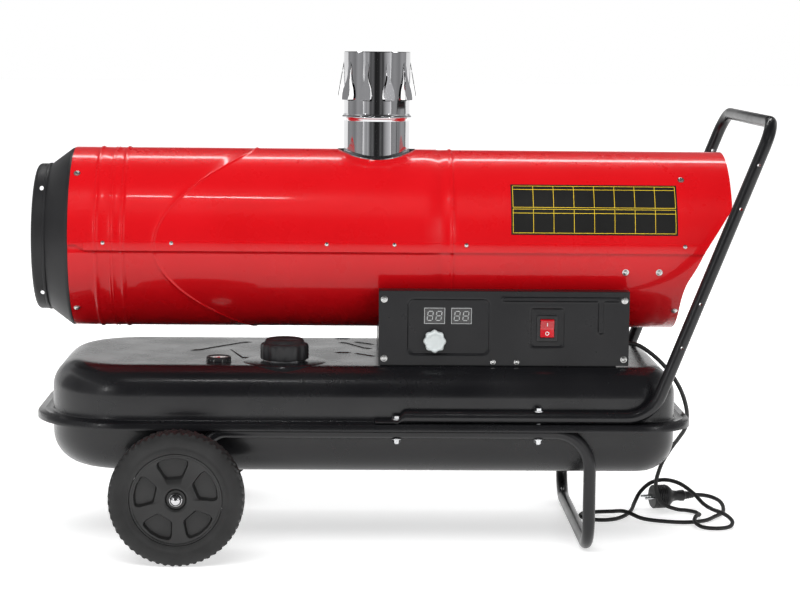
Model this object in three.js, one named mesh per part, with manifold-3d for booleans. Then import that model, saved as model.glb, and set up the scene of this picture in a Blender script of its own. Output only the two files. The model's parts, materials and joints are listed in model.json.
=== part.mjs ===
// Indirect-fired diesel forced air heater, in millimetres, +Z up.
// The origin is on the floor, under the middle of the heater's length and width.
// +X runs from the hot air outlet to the handle, and the control panel faces -Y.
import * as THREE from "three";
import { mergeVertices } from "three/addons/utils/BufferGeometryUtils.js";
import Module from "manifold-3d";

const wasm = await Module();
wasm.setup();

// ---------------------------------------------------------------- driving dimensions
const CLEAR = 0.3; // between pieces that touch
const RUN = 0.06; // radial running clearance of a shaft in its bore
const SHEET = 1.5; // pressed steel sheet
const TUBE = 9.5; // radius of the frame tubes
const LARGE = 28; // sides of the large round pieces
const MEDIUM = 18;
const SMALL = 12;

const casing = {
  radius: 137.5, // outside of the lower shell
  front: -501.7,
  rear: 506, // rear edge of the hood at the top
  rearLow: 432.6, // rear edge of the lower shell at the bottom
  lap: 8.6, // how far the upper shell hangs over the lower one below the axis
  lipRise: 6,
  lipProud: 1.2,
  bead: 1.8, // height of a pressed bead
  beadWidth: 9,
  beads: [-459.7, -419.2, 79.6],
  aboveTank: 42.5, // daylight between the casing and the tank
};
const outlet = { front: -560.6, radius: 113.4, length: 19, lip: 9, spigot: 20, hole: 3 };
const tank = {
  left: -531.4,
  right: 421.6,
  halfWidth: 198,
  cornerLeft: 126,
  cornerRight: 61,
  top: 278,
  bottom: 117,
  shoulder: 43,
  bilge: 50,
  flange: 24,
  flangeTop: 199,
  rimDrop: 10.5,
};
casing.axisZ = tank.top + casing.aboveTank + casing.radius; // above the floor
const frameHalfWidth = tank.halfWidth + tank.flange / 2; // the frames run under the tank's flange
const filler = { x: -174.4, y: -110, bossRadius: 66, bossRise: 1.2, neck: 23, wall: 2, height: 18 };
const cap = { radius: 37, lobes: 12, lobeDepth: 2.2, height: 32 };
const gauge = { x: -275, y: -110, radius: 19, height: 5, stem: 9, pivotDrop: 26, arm: 105, float: 13 };
const wheel = {
  x: -327.8,
  radius: 100,
  width: 42,
  outerY: 303, // outer face of the tyre, from the middle of the heater
  rim: 68,
  lugs: 36,
  lugHeight: 3,
  hub: 18,
  recesses: 5,
  recessTurn: 5, // degrees, as the wheels stand
};
const axle = { radius: 6, cap: 9.5, capDepth: 7 };
const stand = { legX: 286.5, halfWidth: frameHalfWidth, topBend: 55, frontBend: 30, floorBend: 47 };
const handle = { frontX: -36.4, topZ: 652, lean: 21.4, elbow: 55, corner: 38, halfWidth: frameHalfWidth };
const flue = {
  x: -34.4,
  radius: 51.9,
  sides: 20,
  sheet: 1,
  top: 749.3,
  beadZ: 648.6,
  beadRise: 2.6,
  collarWidth: 9.1,
};
const louvre = { count: 10, low: 674, high: 735, half: 8.5, neck: 3.2, flare: 10 };
const chamber = { radius: 78, front: -444, rear: 122, wall: 2 };
const exchanger = { inner: 88, outer: 112, front: -390, rear: 60, wall: 2 };
const burner = { tube: 38, tubeFront: 100, plateX: 194.7, housing: 66, housingRear: 246 };
const motor = { radius: 52, front: 262, rear: 352, shaft: 6 };
const fan = { radius: 124, hub: 28, front: 372, depth: 34, blades: 5, pitch: 32 };
const box = { left: -29, right: 330, halfWidth: 153, top: 391 };
const panel = { left: -31.4, right: 348.6, bottom: 279, top: 392.8, recess: 2.4 };
const knob = { x: 53.3, z: 316.7, radius: 17.3, depth: 17, lobes: 8, lobeDepth: 1.6, shaft: 3 };
const rocker = { x: 224, z: 336.4, width: 21, height: 28, tilt: 8 };
const cord = { radius: 3.25, sides: 6 };
const plug = {
  middle: 449,
  y: 128,
  front: 428,
  radius: 19.4,
  pin: 2.4,
  pinGap: 19,
  pinLength: 16,
};

// ---------------------------------------------------------------- finishes
const finish = (color, roughness, metalness) =>
  new THREE.MeshStandardMaterial({ color, roughness, metalness });
const redPaint = finish(0xc80a10, 0.25, 0.1);
const blackPaint = finish(0x161617, 0.4, 0.1);
const stainless = finish(0xb9b9bb, 0.15, 1);
const castGrey = finish(0x6d6f72, 0.55, 0.7);
const zinc = finish(0xb4b6b8, 0.35, 0.9);
const rubber = finish(0x121212, 0.85, 0);
const blackPlastic = finish(0x1a1a1b, 0.5, 0);
const greyPlastic = finish(0xa9abac, 0.45, 0);
const whitePlastic = finish(0xe4e4e2, 0.4, 0);
const redPlastic = finish(0xb3141c, 0.3, 0);
const brass = finish(0xb08d4a, 0.35, 0.9);
const ceramic = finish(0xe9e6dc, 0.5, 0);
const circuitGreen = finish(0x1c5a35, 0.5, 0);

// ---------------------------------------------------------------- shape helpers
const v2 = (x, y) => new THREE.Vector2(x, y);
const v3 = (x, y, z) => new THREE.Vector3(x, y, z);
const rad = THREE.MathUtils.degToRad;
const range = (n) => Array.from({ length: n }, (_, i) => i);
const turnTo = (count, i) => (2 * Math.PI * i) / count;

// A geometry as a solid that can be joined and cut, with its faces turned outwards.
function solid(shape) {
  if (!shape.isBufferGeometry) return shape;
  const bare = shape.clone();
  bare.deleteAttribute("normal");
  bare.deleteAttribute("uv");
  const merged = mergeVertices(bare, 1e-4);
  const build = (triVerts) =>
    new wasm.Manifold(
      new wasm.Mesh({ numProp: 3, vertProperties: merged.attributes.position.array, triVerts }),
    );
  const made = build(new Uint32Array(merged.index.array));
  return made.volume() < 0 ? build(new Uint32Array(merged.index.array).reverse()) : made;
}
const join = (...shapes) => shapes.map(solid).reduce((a, b) => a.add(b));
const cut = (shape, ...tools) => tools.map(solid).reduce((a, b) => a.subtract(b), solid(shape));
const common = (...shapes) => shapes.map(solid).reduce((a, b) => a.intersect(b));

function geometryOf(shape) {
  const mesh = solid(shape).getMesh();
  const geometry = new THREE.BufferGeometry();
  geometry.setAttribute("position", new THREE.BufferAttribute(mesh.vertProperties, 3));
  geometry.setIndex(new THREE.BufferAttribute(mesh.triVerts, 1));
  geometry.computeVertexNormals();
  return geometry;
}

function piece(name, material, shape) {
  const mesh = new THREE.Mesh(geometryOf(shape), material);
  mesh.name = name;
  return mesh;
}

// A box between two corners.
function block([x0, x1], [y0, y1], [z0, z1]) {
  return new THREE.BoxGeometry(x1 - x0, y1 - y0, z1 - z0).translate(
    (x0 + x1) / 2,
    (y0 + y1) / 2,
    (z0 + z1) / 2,
  );
}

// A profile of [radius, distance along the axis] pairs, turned about that axis.
function turned(axis, segments, profile) {
  const points = profile.map(([radius, along]) => v2(radius, along));
  const lathe = new THREE.LatheGeometry(points, segments);
  if (axis === "x") lathe.rotateZ(-Math.PI / 2);
  if (axis === "z") lathe.rotateX(Math.PI / 2);
  return lathe;
}
const rod = (axis, segments, radius, from, to) =>
  turned(axis, segments, [[0, from], [radius, from], [radius, to], [0, to]]);
const ring = (axis, segments, inner, outer, from, to) =>
  turned(axis, segments, [[inner, from], [outer, from], [outer, to], [inner, to], [inner, from]]);

// A flat outline in the XZ plane, given as a path in (x, z), as thick as from y0 to y1.
function plateXZ(shape, y0, y1, curveSegments = 6) {
  const depth = y1 - y0;
  const plate = new THREE.ExtrudeGeometry(shape, { depth, bevelEnabled: false, curveSegments });
  return plate.rotateX(Math.PI / 2).translate(0, y1, 0);
}

// A flat outline in the YZ plane, as thick as from x0 to x1.
function plateYZ(shape, x0, x1, curveSegments = 6) {
  const depth = x1 - x0;
  const plate = new THREE.ExtrudeGeometry(shape, { depth, bevelEnabled: false, curveSegments });
  return plate.rotateY(Math.PI / 2).rotateX(Math.PI / 2).translate(x0, 0, 0);
}

function roundedRect(x0, x1, y0, y1, r) {
  const shape = new THREE.Shape();
  shape.moveTo(x0 + r, y0);
  shape.lineTo(x1 - r, y0);
  shape.absarc(x1 - r, y0 + r, r, -Math.PI / 2, 0);
  shape.lineTo(x1, y1 - r);
  shape.absarc(x1 - r, y1 - r, r, 0, Math.PI / 2);
  shape.lineTo(x0 + r, y1);
  shape.absarc(x0 + r, y1 - r, r, Math.PI / 2, Math.PI);
  shape.lineTo(x0, y0 + r);
  shape.absarc(x0 + r, y0 + r, r, Math.PI, 1.5 * Math.PI);
  return shape;
}

// A round outline whose radius rises and falls `lobes` times.
function lobedOutline(radius, depth, lobes, stepsPerLobe) {
  const count = lobes * stepsPerLobe;
  return new THREE.Shape(
    range(count).map((i) => {
      const a = turnTo(count, i);
      const r = radius - (depth * (1 - Math.cos(lobes * a))) / 2;
      return v2(r * Math.cos(a), r * Math.sin(a));
    }),
  );
}

// A closed solid through rings of equally many points, with flat ends.
function loft(rings, flat = (p) => v2(p.x, p.y)) {
  const n = rings[0].length;
  const last = (rings.length - 1) * n;
  const index = [];
  range(rings.length - 1).forEach((k) =>
    range(n).forEach((i) => {
      const a = k * n + i;
      const b = k * n + ((i + 1) % n);
      index.push(a, b, b + n, a, b + n, a + n);
    }),
  );
  const ends = (points) => THREE.ShapeUtils.triangulateShape(points.map(flat), []);
  ends(rings[0]).forEach(([a, b, c]) => index.push(c, b, a));
  ends(rings.at(-1)).forEach(([a, b, c]) => index.push(a + last, b + last, c + last));
  const geometry = new THREE.BufferGeometry();
  const positions = rings.flat().flatMap((p) => p.toArray());
  geometry.setAttribute("position", new THREE.Float32BufferAttribute(positions, 3));
  geometry.setIndex(index);
  return geometry;
}

// A path of straight runs with round bends, which has stations only where it turns.
class BentPath extends THREE.Curve {
  constructor(corners, bends, bendSteps) {
    super();
    this.stations = [corners[0]];
    range(corners.length - 2).forEach((k) => {
      const [before, at, after] = corners.slice(k, k + 3);
      const back = before.clone().sub(at).normalize();
      const on = after.clone().sub(at).normalize();
      const half = back.angleTo(on) / 2;
      const reach = bends[k] / Math.tan(half);
      const middle = back.clone().add(on).normalize();
      const centre = at.clone().addScaledVector(middle, bends[k] / Math.sin(half));
      const start = at.clone().addScaledVector(back, reach).sub(centre);
      const sweep = Math.PI - 2 * half;
      const axis = start.clone().cross(at.clone().addScaledVector(on, reach).sub(centre));
      axis.normalize();
      range(bendSteps + 1).forEach((i) =>
        this.stations.push(
          start.clone().applyAxisAngle(axis, (sweep * i) / bendSteps).add(centre),
        ),
      );
    });
    this.stations.push(corners.at(-1));
    this.steps = this.stations.length - 1;
  }
  getPoint(t, target = v3(0, 0, 0)) {
    const at = t * this.steps;
    const k = Math.min(Math.floor(at), this.steps - 1);
    return target.lerpVectors(this.stations[k], this.stations[k + 1], at - k);
  }
  getUtoTmapping(u) {
    return u;
  }
}

// A round section of flat-sided facets, whose flats lie at the radius.
function facetedDisc(radius, sides) {
  const corner = radius / Math.cos(Math.PI / sides);
  return new THREE.Shape(
    range(sides).map((i) => {
      const a = turnTo(sides, i + 0.5);
      return v2(corner * Math.cos(a), corner * Math.sin(a));
    }),
  );
}
const sweep = (path, steps, radius, sides) =>
  new THREE.ExtrudeGeometry(facetedDisc(radius, sides), { steps, extrudePath: path });
const bentTube = (corners, bends, radius, sides = 8, bendSteps = 4) => {
  const path = new BentPath(corners, bends, bendSteps);
  return sweep(path, path.steps, radius, sides);
};
const mirrorY = (p) => v3(p.x, -p.y, p.z);

// ---------------------------------------------------------------- fuel tank
const flange = {
  upperLow: tank.flangeTop - SHEET,
  lowerTop: tank.flangeTop - SHEET - CLEAR,
  lowerLow: tank.flangeTop - 2 * SHEET - CLEAR,
  skirt: tank.flangeTop - tank.rimDrop,
};

// The tank's plan outline, drawn in by `inset`, at a height.
function tankOutline(inset, z) {
  const steps = 4;
  const { left, right, halfWidth, cornerLeft, cornerRight } = tank;
  const corners = [
    [right - cornerRight, halfWidth - cornerRight, cornerRight, 0],
    [left + cornerLeft, halfWidth - cornerLeft, cornerLeft, 90],
    [left + cornerLeft, cornerLeft - halfWidth, cornerLeft, 180],
    [right - cornerRight, cornerRight - halfWidth, cornerRight, 270],
  ];
  return corners.flatMap(([x, y, r, start]) =>
    range(steps + 1).map((i) => {
      const a = rad(start + (90 * i) / steps);
      return v3(x + (r - inset) * Math.cos(a), y + (r - inset) * Math.sin(a), z);
    }),
  );
}
const tankSlab = (inset, z0, z1) => loft([tankOutline(inset, z0), tankOutline(inset, z1)]);

// A pressed half from the flange plane to its crown, with a round shoulder, drawn in by `skin`.
function tankDome(base, crown, shoulder, skin) {
  const steps = 4;
  const way = Math.sign(crown - base);
  const r = shoulder - skin;
  return loft([
    tankOutline(skin, base),
    ...range(steps + 1).map((i) => {
      const a = rad((90 * i) / steps);
      return tankOutline(skin + r * (1 - Math.cos(a)), crown - way * (shoulder - r * Math.sin(a)));
    }),
  ]);
}

const boltX = [-4.4, 208.1]; // the frame's bolts through the flange
const bossTop = tank.top + filler.bossRise;

function tankUpperShell() {
  const at = (shape) => shape.translate(filler.x, filler.y, 0);
  const bossSide = 14; // how much wider the boss is at its foot
  const bossFoot = tank.top - tank.shoulder;
  const boss = (skin) =>
    at(
      turned("z", MEDIUM, [
        [0, bossFoot],
        [filler.bossRadius + bossSide - skin, bossFoot],
        [filler.bossRadius - skin, bossTop - 3 - skin],
        [filler.bossRadius - 3 - skin, bossTop - skin],
        [0, bossTop - skin],
      ]),
    );
  const cavity = tankDome(flange.upperLow - 0.1, tank.top, tank.shoulder, SHEET);
  const below = tankSlab(-tank.flange - 5, 0, bossFoot + 12);
  const raised = cut(boss(0), cavity, below);
  const pressed = cut(
    join(
      tankDome(flange.upperLow, tank.top, tank.shoulder, 0),
      tankSlab(-tank.flange, flange.skirt, tank.flangeTop),
      raised,
    ),
    cavity,
    cut(boss(SHEET), below),
  );
  return cut(
    pressed,
    tankSlab(SHEET - tank.flange, flange.skirt - 1, flange.upperLow),
    at(rod("z", MEDIUM, filler.neck + CLEAR, bossTop - 20, bossTop + 5)),
    rod("z", SMALL, gauge.stem + CLEAR, tank.top - 20, tank.top + 5).translate(gauge.x, gauge.y, 0),
    rod("z", SMALL, pickup.tube + CLEAR, tank.top - 20, tank.top + 5).translate(pickup.x, pickup.y, 0),
  );
}

const drain = { x: 330, radius: 8, head: 13, headHeight: 7 };

function tankLowerShell() {
  const pressed = join(
    tankDome(flange.lowerTop, tank.bottom, tank.bilge, 0),
    tankSlab(SHEET + CLEAR - tank.flange, flange.lowerLow, flange.lowerTop),
  );
  return cut(
    pressed,
    tankDome(flange.lowerTop + 0.1, tank.bottom, tank.bilge, SHEET),
    rod("z", SMALL, drain.radius + CLEAR, tank.bottom - 5, tank.bottom + 5).translate(drain.x, 0, 0),
  );
}

function drainPlug() {
  const headTop = tank.bottom - CLEAR;
  return join(
    rod("z", 6, drain.head, headTop - drain.headHeight, headTop),
    rod("z", SMALL, drain.radius, headTop - 1, tank.bottom + 6),
  ).translate(drain.x, 0, 0);
}

const neckTop = bossTop + filler.height;

function fillerNeck() {
  const { neck, wall } = filler;
  const seat = bossTop + CLEAR;
  const ledge = neckTop - 6;
  return turned("z", MEDIUM, [
    [neck - wall - 2, seat - 16],
    [neck, seat - 16],
    [neck, seat],
    [neck + 9, seat],
    [neck + 9, seat + 1.6],
    [neck, seat + 1.6],
    [neck, neckTop],
    [neck - wall, neckTop],
    [neck - wall, ledge],
    [neck - wall - 2, ledge],
    [neck - wall - 2, seat - 16],
  ]).translate(filler.x, filler.y, 0);
}

// The strainer hangs by its rim from the ledge inside the neck, and its sides are slotted.
function fillerStrainer() {
  const rim = filler.neck - filler.wall - CLEAR;
  const sleeve = rim - 2 - CLEAR;
  const wall = 0.9;
  const ledge = neckTop - 6 + CLEAR;
  const floor = ledge - 70;
  const basket = turned("z", MEDIUM, [
    [0, floor],
    [sleeve, floor],
    [sleeve, ledge],
    [rim, ledge],
    [rim, ledge + 1.4],
    [sleeve - wall, ledge + 1.4],
    [sleeve - wall, floor + wall],
    [0, floor + wall],
  ]);
  const slots = range(2).map((i) =>
    block([-40, 40], [-4, 4], [floor + 8, floor + 36]).rotateZ(turnTo(4, i)),
  );
  return cut(basket, ...slots).translate(filler.x, filler.y, 0);
}

const capSeat = neckTop + CLEAR + 2; // top of the gasket on the neck

function capGasket() {
  const { neck, wall } = filler;
  const gasket = ring("z", MEDIUM, neck - wall, neck, neckTop + CLEAR, capSeat);
  return gasket.translate(filler.x, filler.y, 0);
}

// The cap's skirt is scalloped for the fingers, and its top is a lower round crown.
function fuelCap() {
  const low = bossTop + 1.6 + 2 * CLEAR;
  const top = low + cap.height;
  const depth = cap.height - 7;
  const skirt = new THREE.ExtrudeGeometry(
    lobedOutline(cap.radius, cap.lobeDepth, cap.lobes, 3),
    { depth, bevelEnabled: false },
  ).translate(0, 0, low);
  const crown = turned("z", MEDIUM, [
    [0, low + depth - 1],
    [cap.radius - 4, low + depth - 1],
    [cap.radius - 4, low + depth + 1],
    [cap.radius - 9, top - 1],
    [cap.radius - 11, top],
    [0, top],
  ]);
  const hollow = rod("z", MEDIUM, filler.neck + 1, low - 1, capSeat + CLEAR);
  return cut(join(skirt, crown), hollow).translate(filler.x, filler.y, 0);
}

const gaugePivotZ = tank.top - gauge.pivotDrop;

function fuelGauge() {
  const fork = block([-40, 4.6], [-3.2, 3.2], [-40, gaugePivotZ + 9]);
  const body = turned("z", MEDIUM, [
    [0, gaugePivotZ - 7],
    [gauge.stem, gaugePivotZ - 7],
    [gauge.stem, tank.top + CLEAR],
    [gauge.radius, tank.top + CLEAR],
    [gauge.radius, tank.top + gauge.height - 1.5],
    [gauge.radius - 2, tank.top + gauge.height],
    [0, tank.top + gauge.height],
  ]);
  const bore = rod("y", SMALL, 1.6, -20, 20).translate(0, 0, gaugePivotZ);
  return cut(body, fork, bore).translate(gauge.x, gauge.y, 0);
}

// The float arm swings on a pin through the gauge's fork, and its float hangs at its free end.
function gaugeFloat() {
  const pin = rod("y", SMALL, 1.5, -7, 7);
  const eye = rod("y", SMALL, 4, -2.6, 2.6);
  const arm = block([0, gauge.arm], [-1.5, 1.5], [-1.5, 1.5]);
  const float = turned("y", SMALL, [
    [0, -22],
    [gauge.float - 3, -22],
    [gauge.float, -19],
    [gauge.float, 19],
    [gauge.float - 3, 22],
    [0, 22],
  ]).translate(gauge.arm, 0, 0);
  return join(pin, eye, arm, float);
}

const pickup = { x: 45, y: 70, tube: 4, flange: 12, hex: 8 };

function fuelPickup() {
  const seat = tank.top + SHEET + 2 * CLEAR;
  return turned("z", SMALL, [
    [0, tank.bottom + 12],
    [pickup.tube, tank.bottom + 12],
    [pickup.tube, seat],
    [pickup.flange, seat],
    [pickup.flange, seat + 3],
    [pickup.hex, seat + 3],
    [pickup.hex, seat + 9],
    [pickup.tube, seat + 9],
    [pickup.tube, seat + 12],
    [0, seat + 12],
  ]).translate(pickup.x, pickup.y, 0);
}

const tankGroup = new THREE.Group();
tankGroup.add(
  piece("tank_upper_shell", blackPaint, tankUpperShell()),
  piece("tank_lower_shell", blackPaint, tankLowerShell()),
  piece("drain_plug", zinc, drainPlug()),
  piece("filler_neck", zinc, fillerNeck()),
  piece("filler_strainer", whitePlastic, fillerStrainer()),
  piece("cap_gasket", rubber, capGasket()),
  piece("fuel_cap", blackPlastic, fuelCap()),
  piece("fuel_gauge", whitePlastic, fuelGauge()),
  piece("fuel_pickup", brass, fuelPickup()),
);
const gaugeFloatPiece = piece("gauge_float", blackPlastic, gaugeFloat());
gaugeFloatPiece.position.set(gauge.x, gauge.y, gaugePivotZ);
gaugeFloatPiece.rotation.y = rad(180 - 58); // hanging, with the tank empty
tankGroup.add(gaugeFloatPiece);

// ---------------------------------------------------------------- stand and wheels
const standRunZ = flange.lowerLow - CLEAR - TUBE;

function standFrame() {
  const y = -stand.halfWidth;
  const lean = 52; // how far back of the axle the front bend's corner lies
  const near = [
    v3(wheel.x, y, wheel.radius),
    v3(wheel.x + lean, y, standRunZ),
    v3(stand.legX, y, standRunZ),
    v3(stand.legX, y, TUBE),
  ];
  const corners = [...near, ...near.map(mirrorY).reverse()];
  const bends = [stand.frontBend, stand.topBend, stand.floorBend];
  const tube = bentTube(corners, [...bends, ...bends.toReversed()], TUBE);
  const lug = 13;
  const lugs = [-1, 1].map((side) =>
    rod("y", MEDIUM, lug, -6, 6).translate(wheel.x, side * stand.halfWidth, wheel.radius),
  );
  const reach = stand.halfWidth + 20;
  const bore = rod("y", MEDIUM, axle.radius + CLEAR, -reach, reach);
  return cut(join(tube, ...lugs), bore.translate(wheel.x, 0, wheel.radius));
}

const wheelInnerY = wheel.outerY - wheel.width;
const hubInnerY = wheelInnerY - 20;
const wheelSegments = 20;

// The hub's outer face, the rim's front face and the web, seen from the side at -Y.
function wheelHub() {
  const { outerY, rim, hub, recesses } = wheel;
  const face = outerY - 3;
  const web = 15;
  const bore = (axle.radius + RUN) / Math.cos(Math.PI / wheelSegments);
  const disc = join(
    ring("y", LARGE, rim - 4, rim, wheelInnerY + 2, face),
    ring("y", LARGE, bore + 2, rim - 2, face - web, face),
    ring("y", wheelSegments, bore, hub, hubInnerY, face - 2),
  );
  const pocket = recessOutline();
  const pockets = range(recesses).map((i) =>
    plateXZ(pocket, face - 11, face + 5).rotateY(turnTo(recesses, i) + rad(wheel.recessTurn)),
  );
  return cut(disc, ...pockets, ring("y", MEDIUM, 0.1, 15, face - 4, face + 5));
}

// One recess of the wheel's face: narrow at the hub, wide and blunt at the rim.
function recessOutline() {
  const side = [
    [12, 31],
    [22.5, 50],
    [22, 57],
  ];
  const right = side.map(([x, z]) => v2(x, z));
  const left = side.toReversed().map(([x, z]) => v2(-x, z));
  return new THREE.Shape([...right, v2(0, 61.5), ...left]);
}

// A solid rubber tyre with cleats across its tread.
function tyre() {
  const root = wheel.radius - wheel.lugHeight;
  const pitch = turnTo(wheel.lugs, 1);
  const outline = new THREE.Shape(
    range(wheel.lugs).flatMap((i) => {
      const a = i * pitch - Math.PI / 2;
      return [
        [wheel.radius, -0.32],
        [wheel.radius, 0.32],
        [root, 0.5],
      ].map(([r, share]) => {
        const corner = r / Math.cos(0.32 * pitch);
        return v2(corner * Math.cos(a + share * pitch), corner * Math.sin(a + share * pitch));
      });
    }),
  );
  const tread = plateXZ(outline, wheelInnerY, wheel.outerY);
  return cut(tread, rod("y", LARGE, wheel.rim + CLEAR, wheelInnerY - 5, wheel.outerY + 5));
}

function axleCap() {
  const { radius, cap: capRadius, capDepth } = axle;
  const end = wheel.outerY + 2;
  return turned("y", MEDIUM, [
    [radius + CLEAR, end - capDepth],
    [capRadius, end - capDepth],
    [capRadius, end + 1],
    [capRadius - 3, end + 4],
    [0, end + 4],
    [0, end + CLEAR],
    [radius + CLEAR, end + CLEAR],
    [radius + CLEAR, end - capDepth],
  ]);
}

const standGroup = new THREE.Group();
standGroup.add(piece("stand_frame", blackPaint, standFrame()));
const axleGroup = new THREE.Group();
axleGroup.position.set(wheel.x, 0, wheel.radius);
axleGroup.add(
  piece("axle", zinc, rod("y", wheelSegments, axle.radius, -wheel.outerY - 2, wheel.outerY + 2)),
);
for (const [side, turn] of [["near", Math.PI], ["far", 0]]) {
  const sideGroup = new THREE.Group();
  sideGroup.rotation.z = turn;
  const spacerFrom = stand.halfWidth + TUBE + CLEAR;
  sideGroup.add(
    piece("wheel_" + side, blackPlastic, wheelHub()),
    piece("tyre_" + side, rubber, tyre()),
    piece("axle_cap_" + side, zinc, axleCap()),
    piece(
      "axle_spacer_" + side,
      zinc,
      ring("y", SMALL, axle.radius + CLEAR, axle.radius + 4, spacerFrom, hubInnerY - CLEAR),
    ),
  );
  axleGroup.add(sideGroup);
}
standGroup.add(axleGroup);

// ---------------------------------------------------------------- handle
function handleFrame() {
  const y = -handle.halfWidth;
  const runZ = tank.flangeTop + CLEAR + TUBE;
  const topX = -outlet.front - TUBE / Math.cos(Math.PI / 8);
  const elbowX = topX - (handle.topZ - runZ) * Math.tan(rad(handle.lean));
  const near = [v3(handle.frontX, y, runZ), v3(elbowX, y, runZ), v3(topX, y, handle.topZ)];
  const corners = [...near, ...near.map(mirrorY).reverse()];
  const bends = [handle.elbow, handle.corner];
  return bentTube(corners, [...bends, ...bends.toReversed()], TUBE);
}
const handleGroup = new THREE.Group();
handleGroup.add(piece("handle_frame", blackPaint, handleFrame()));

// ---------------------------------------------------------------- casing, about its own axis
const upperInner = casing.radius + CLEAR;
const upperOuter = upperInner + SHEET;

// A solid drum along the casing with its raised beads.
function casingDrum(radius) {
  const half = casing.beadWidth / 2;
  const beads = casing.beads.flatMap((x) => [
    [radius, x - half],
    [radius + casing.bead, x - half / 3],
    [radius + casing.bead, x + half / 3],
    [radius, x + half],
  ]);
  const from = casing.front;
  const to = casing.rear + 20;
  return turned("x", LARGE, [[0, from], [radius, from], ...beads, [radius, to], [0, to]]);
}

// Everything behind the casing's slanting rear edge, as a block across the casing.
function behindRearEdge() {
  const { rear, rearLow } = casing;
  const far = rear + 100;
  const edge = new THREE.Shape();
  edge.moveTo(rear, 160);
  edge.lineTo(rear, 66);
  edge.quadraticCurveTo(rear, 56, rear - 6.6, 50);
  edge.lineTo(rear - 41, -4);
  edge.quadraticCurveTo(rear - 50, -26, rearLow + 13, -44);
  edge.quadraticCurveTo(rearLow + 1, -62, rearLow, -95);
  edge.lineTo(rearLow, -160);
  edge.lineTo(far, -160);
  edge.lineTo(far, 160);
  return plateXZ(edge, -160, 160);
}

const flueHole = flue.radius + 0.6;

function casingUpperShell() {
  const wide = 200;
  const lipOuter = upperOuter + casing.lipProud;
  const lip = ring("x", LARGE, upperInner, lipOuter, casing.front + 24, casing.rear + 20);
  const lipBand = block([-600, 600], [-wide, wide], [-casing.lap, casing.lipRise]);
  const above = block([-600, 600], [-wide, wide], [-casing.lap, wide]);
  // At the front the lap is shorter, and a short slope leads up to it.
  const notch = new THREE.Shape([
    v2(casing.front - 5, -casing.lap - 5),
    v2(casing.front + 25, -casing.lap - 5),
    v2(casing.front + 25, -casing.lap),
    v2(casing.front + 12, -0.5),
    v2(casing.front - 5, -0.5),
  ]);
  return cut(
    join(common(casingDrum(upperOuter), above), common(lip, lipBand)),
    rod("x", LARGE, upperInner, -600, 600),
    behindRearEdge(),
    plateXZ(notch, -wide, wide),
    rod("z", flue.sides, flueHole, 50, 200).translate(flue.x, 0, 0),
  );
}

const hoseX = 175;

// The lower shell's top edge is plain, and runs up behind the lap of the upper one.
function casingLowerShell() {
  const low = [-600, 600];
  const beaded = block(low, [-200, 200], [-200, -casing.lap - 1]);
  const edge = block(low, [-200, 200], [-200, casing.lipRise - 2]);
  const drum = rod("x", LARGE, casing.radius, casing.front, casing.rear + 20);
  return cut(
    join(common(casingDrum(casing.radius), beaded), common(drum, edge)),
    rod("x", LARGE, casing.radius - SHEET, -600, 600),
    behindRearEdge(),
    rod("z", SMALL, 12, -200, -50).translate(hoseX, 0, 0),
  );
}

// The outlet: a short ring with a turned-in lip, flared out to the casing and sunk into it.
function outletCone() {
  const { front, radius, length, lip, spigot } = outlet;
  const mouth = casing.front - CLEAR;
  const skirt = casing.radius - SHEET - CLEAR;
  const edge = casing.radius + 1;
  const outside = [
    [radius - lip, front],
    [radius, front],
    [radius, front + length],
    [radius + 3, front + length + 5],
    [edge, mouth - 3],
    [edge, mouth],
    [skirt, mouth],
    [skirt, mouth + spigot],
  ];
  const inside = [
    [skirt - SHEET, mouth + spigot],
    [skirt - SHEET, mouth - 2],
    [radius - SHEET, front + length + 1],
    [radius - SHEET, front + SHEET],
    [radius - lip, front + SHEET],
    [radius - lip, front],
  ];
  const holes = [45, 135].map((angle) =>
    rod("y", SMALL, outlet.hole, -200, 200).translate(front + 14, 0, radius * Math.cos(rad(angle))),
  );
  return cut(turned("x", LARGE, [...outside, ...inside]), ...holes);
}

function flueCollar() {
  const top = upperOuter + CLEAR + 1.6;
  const saddle = ring("x", 64, upperOuter + CLEAR, top, flue.x - 90, flue.x + 90);
  const edge = flue.radius + flue.collarWidth;
  return common(saddle, ring("z", flue.sides, flueInner + 0.6, edge, 60, 200).translate(flue.x, 0, 0));
}

const flueInner = flue.radius - flue.sheet - CLEAR; // outside of the pipe within the cowl

function fluePipe() {
  const low = exchanger.outer / Math.cos(Math.PI / LARGE) + CLEAR;
  const pipe = ring("z", flue.sides, flueInner - flue.sheet, flueInner, 60, flue.beadZ - casing.axisZ + 14);
  return cut(pipe.translate(flue.x, 0, 0), rod("x", LARGE, low, flue.x - 90, flue.x + 90));
}

// One punched tab of the cowl and its window: a bottle outline, slim above and wide below.
function louvreOutline() {
  const { low, high, half, neck } = louvre;
  const side = [
    [half, low],
    [neck + 0.6, low + 34],
    [neck, high - 3],
  ];
  const right = side.map(([x, z]) => v2(x, z));
  const left = side.toReversed().map(([x, z]) => v2(-x, z));
  return new THREE.Shape([...right, ...left]);
}

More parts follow.
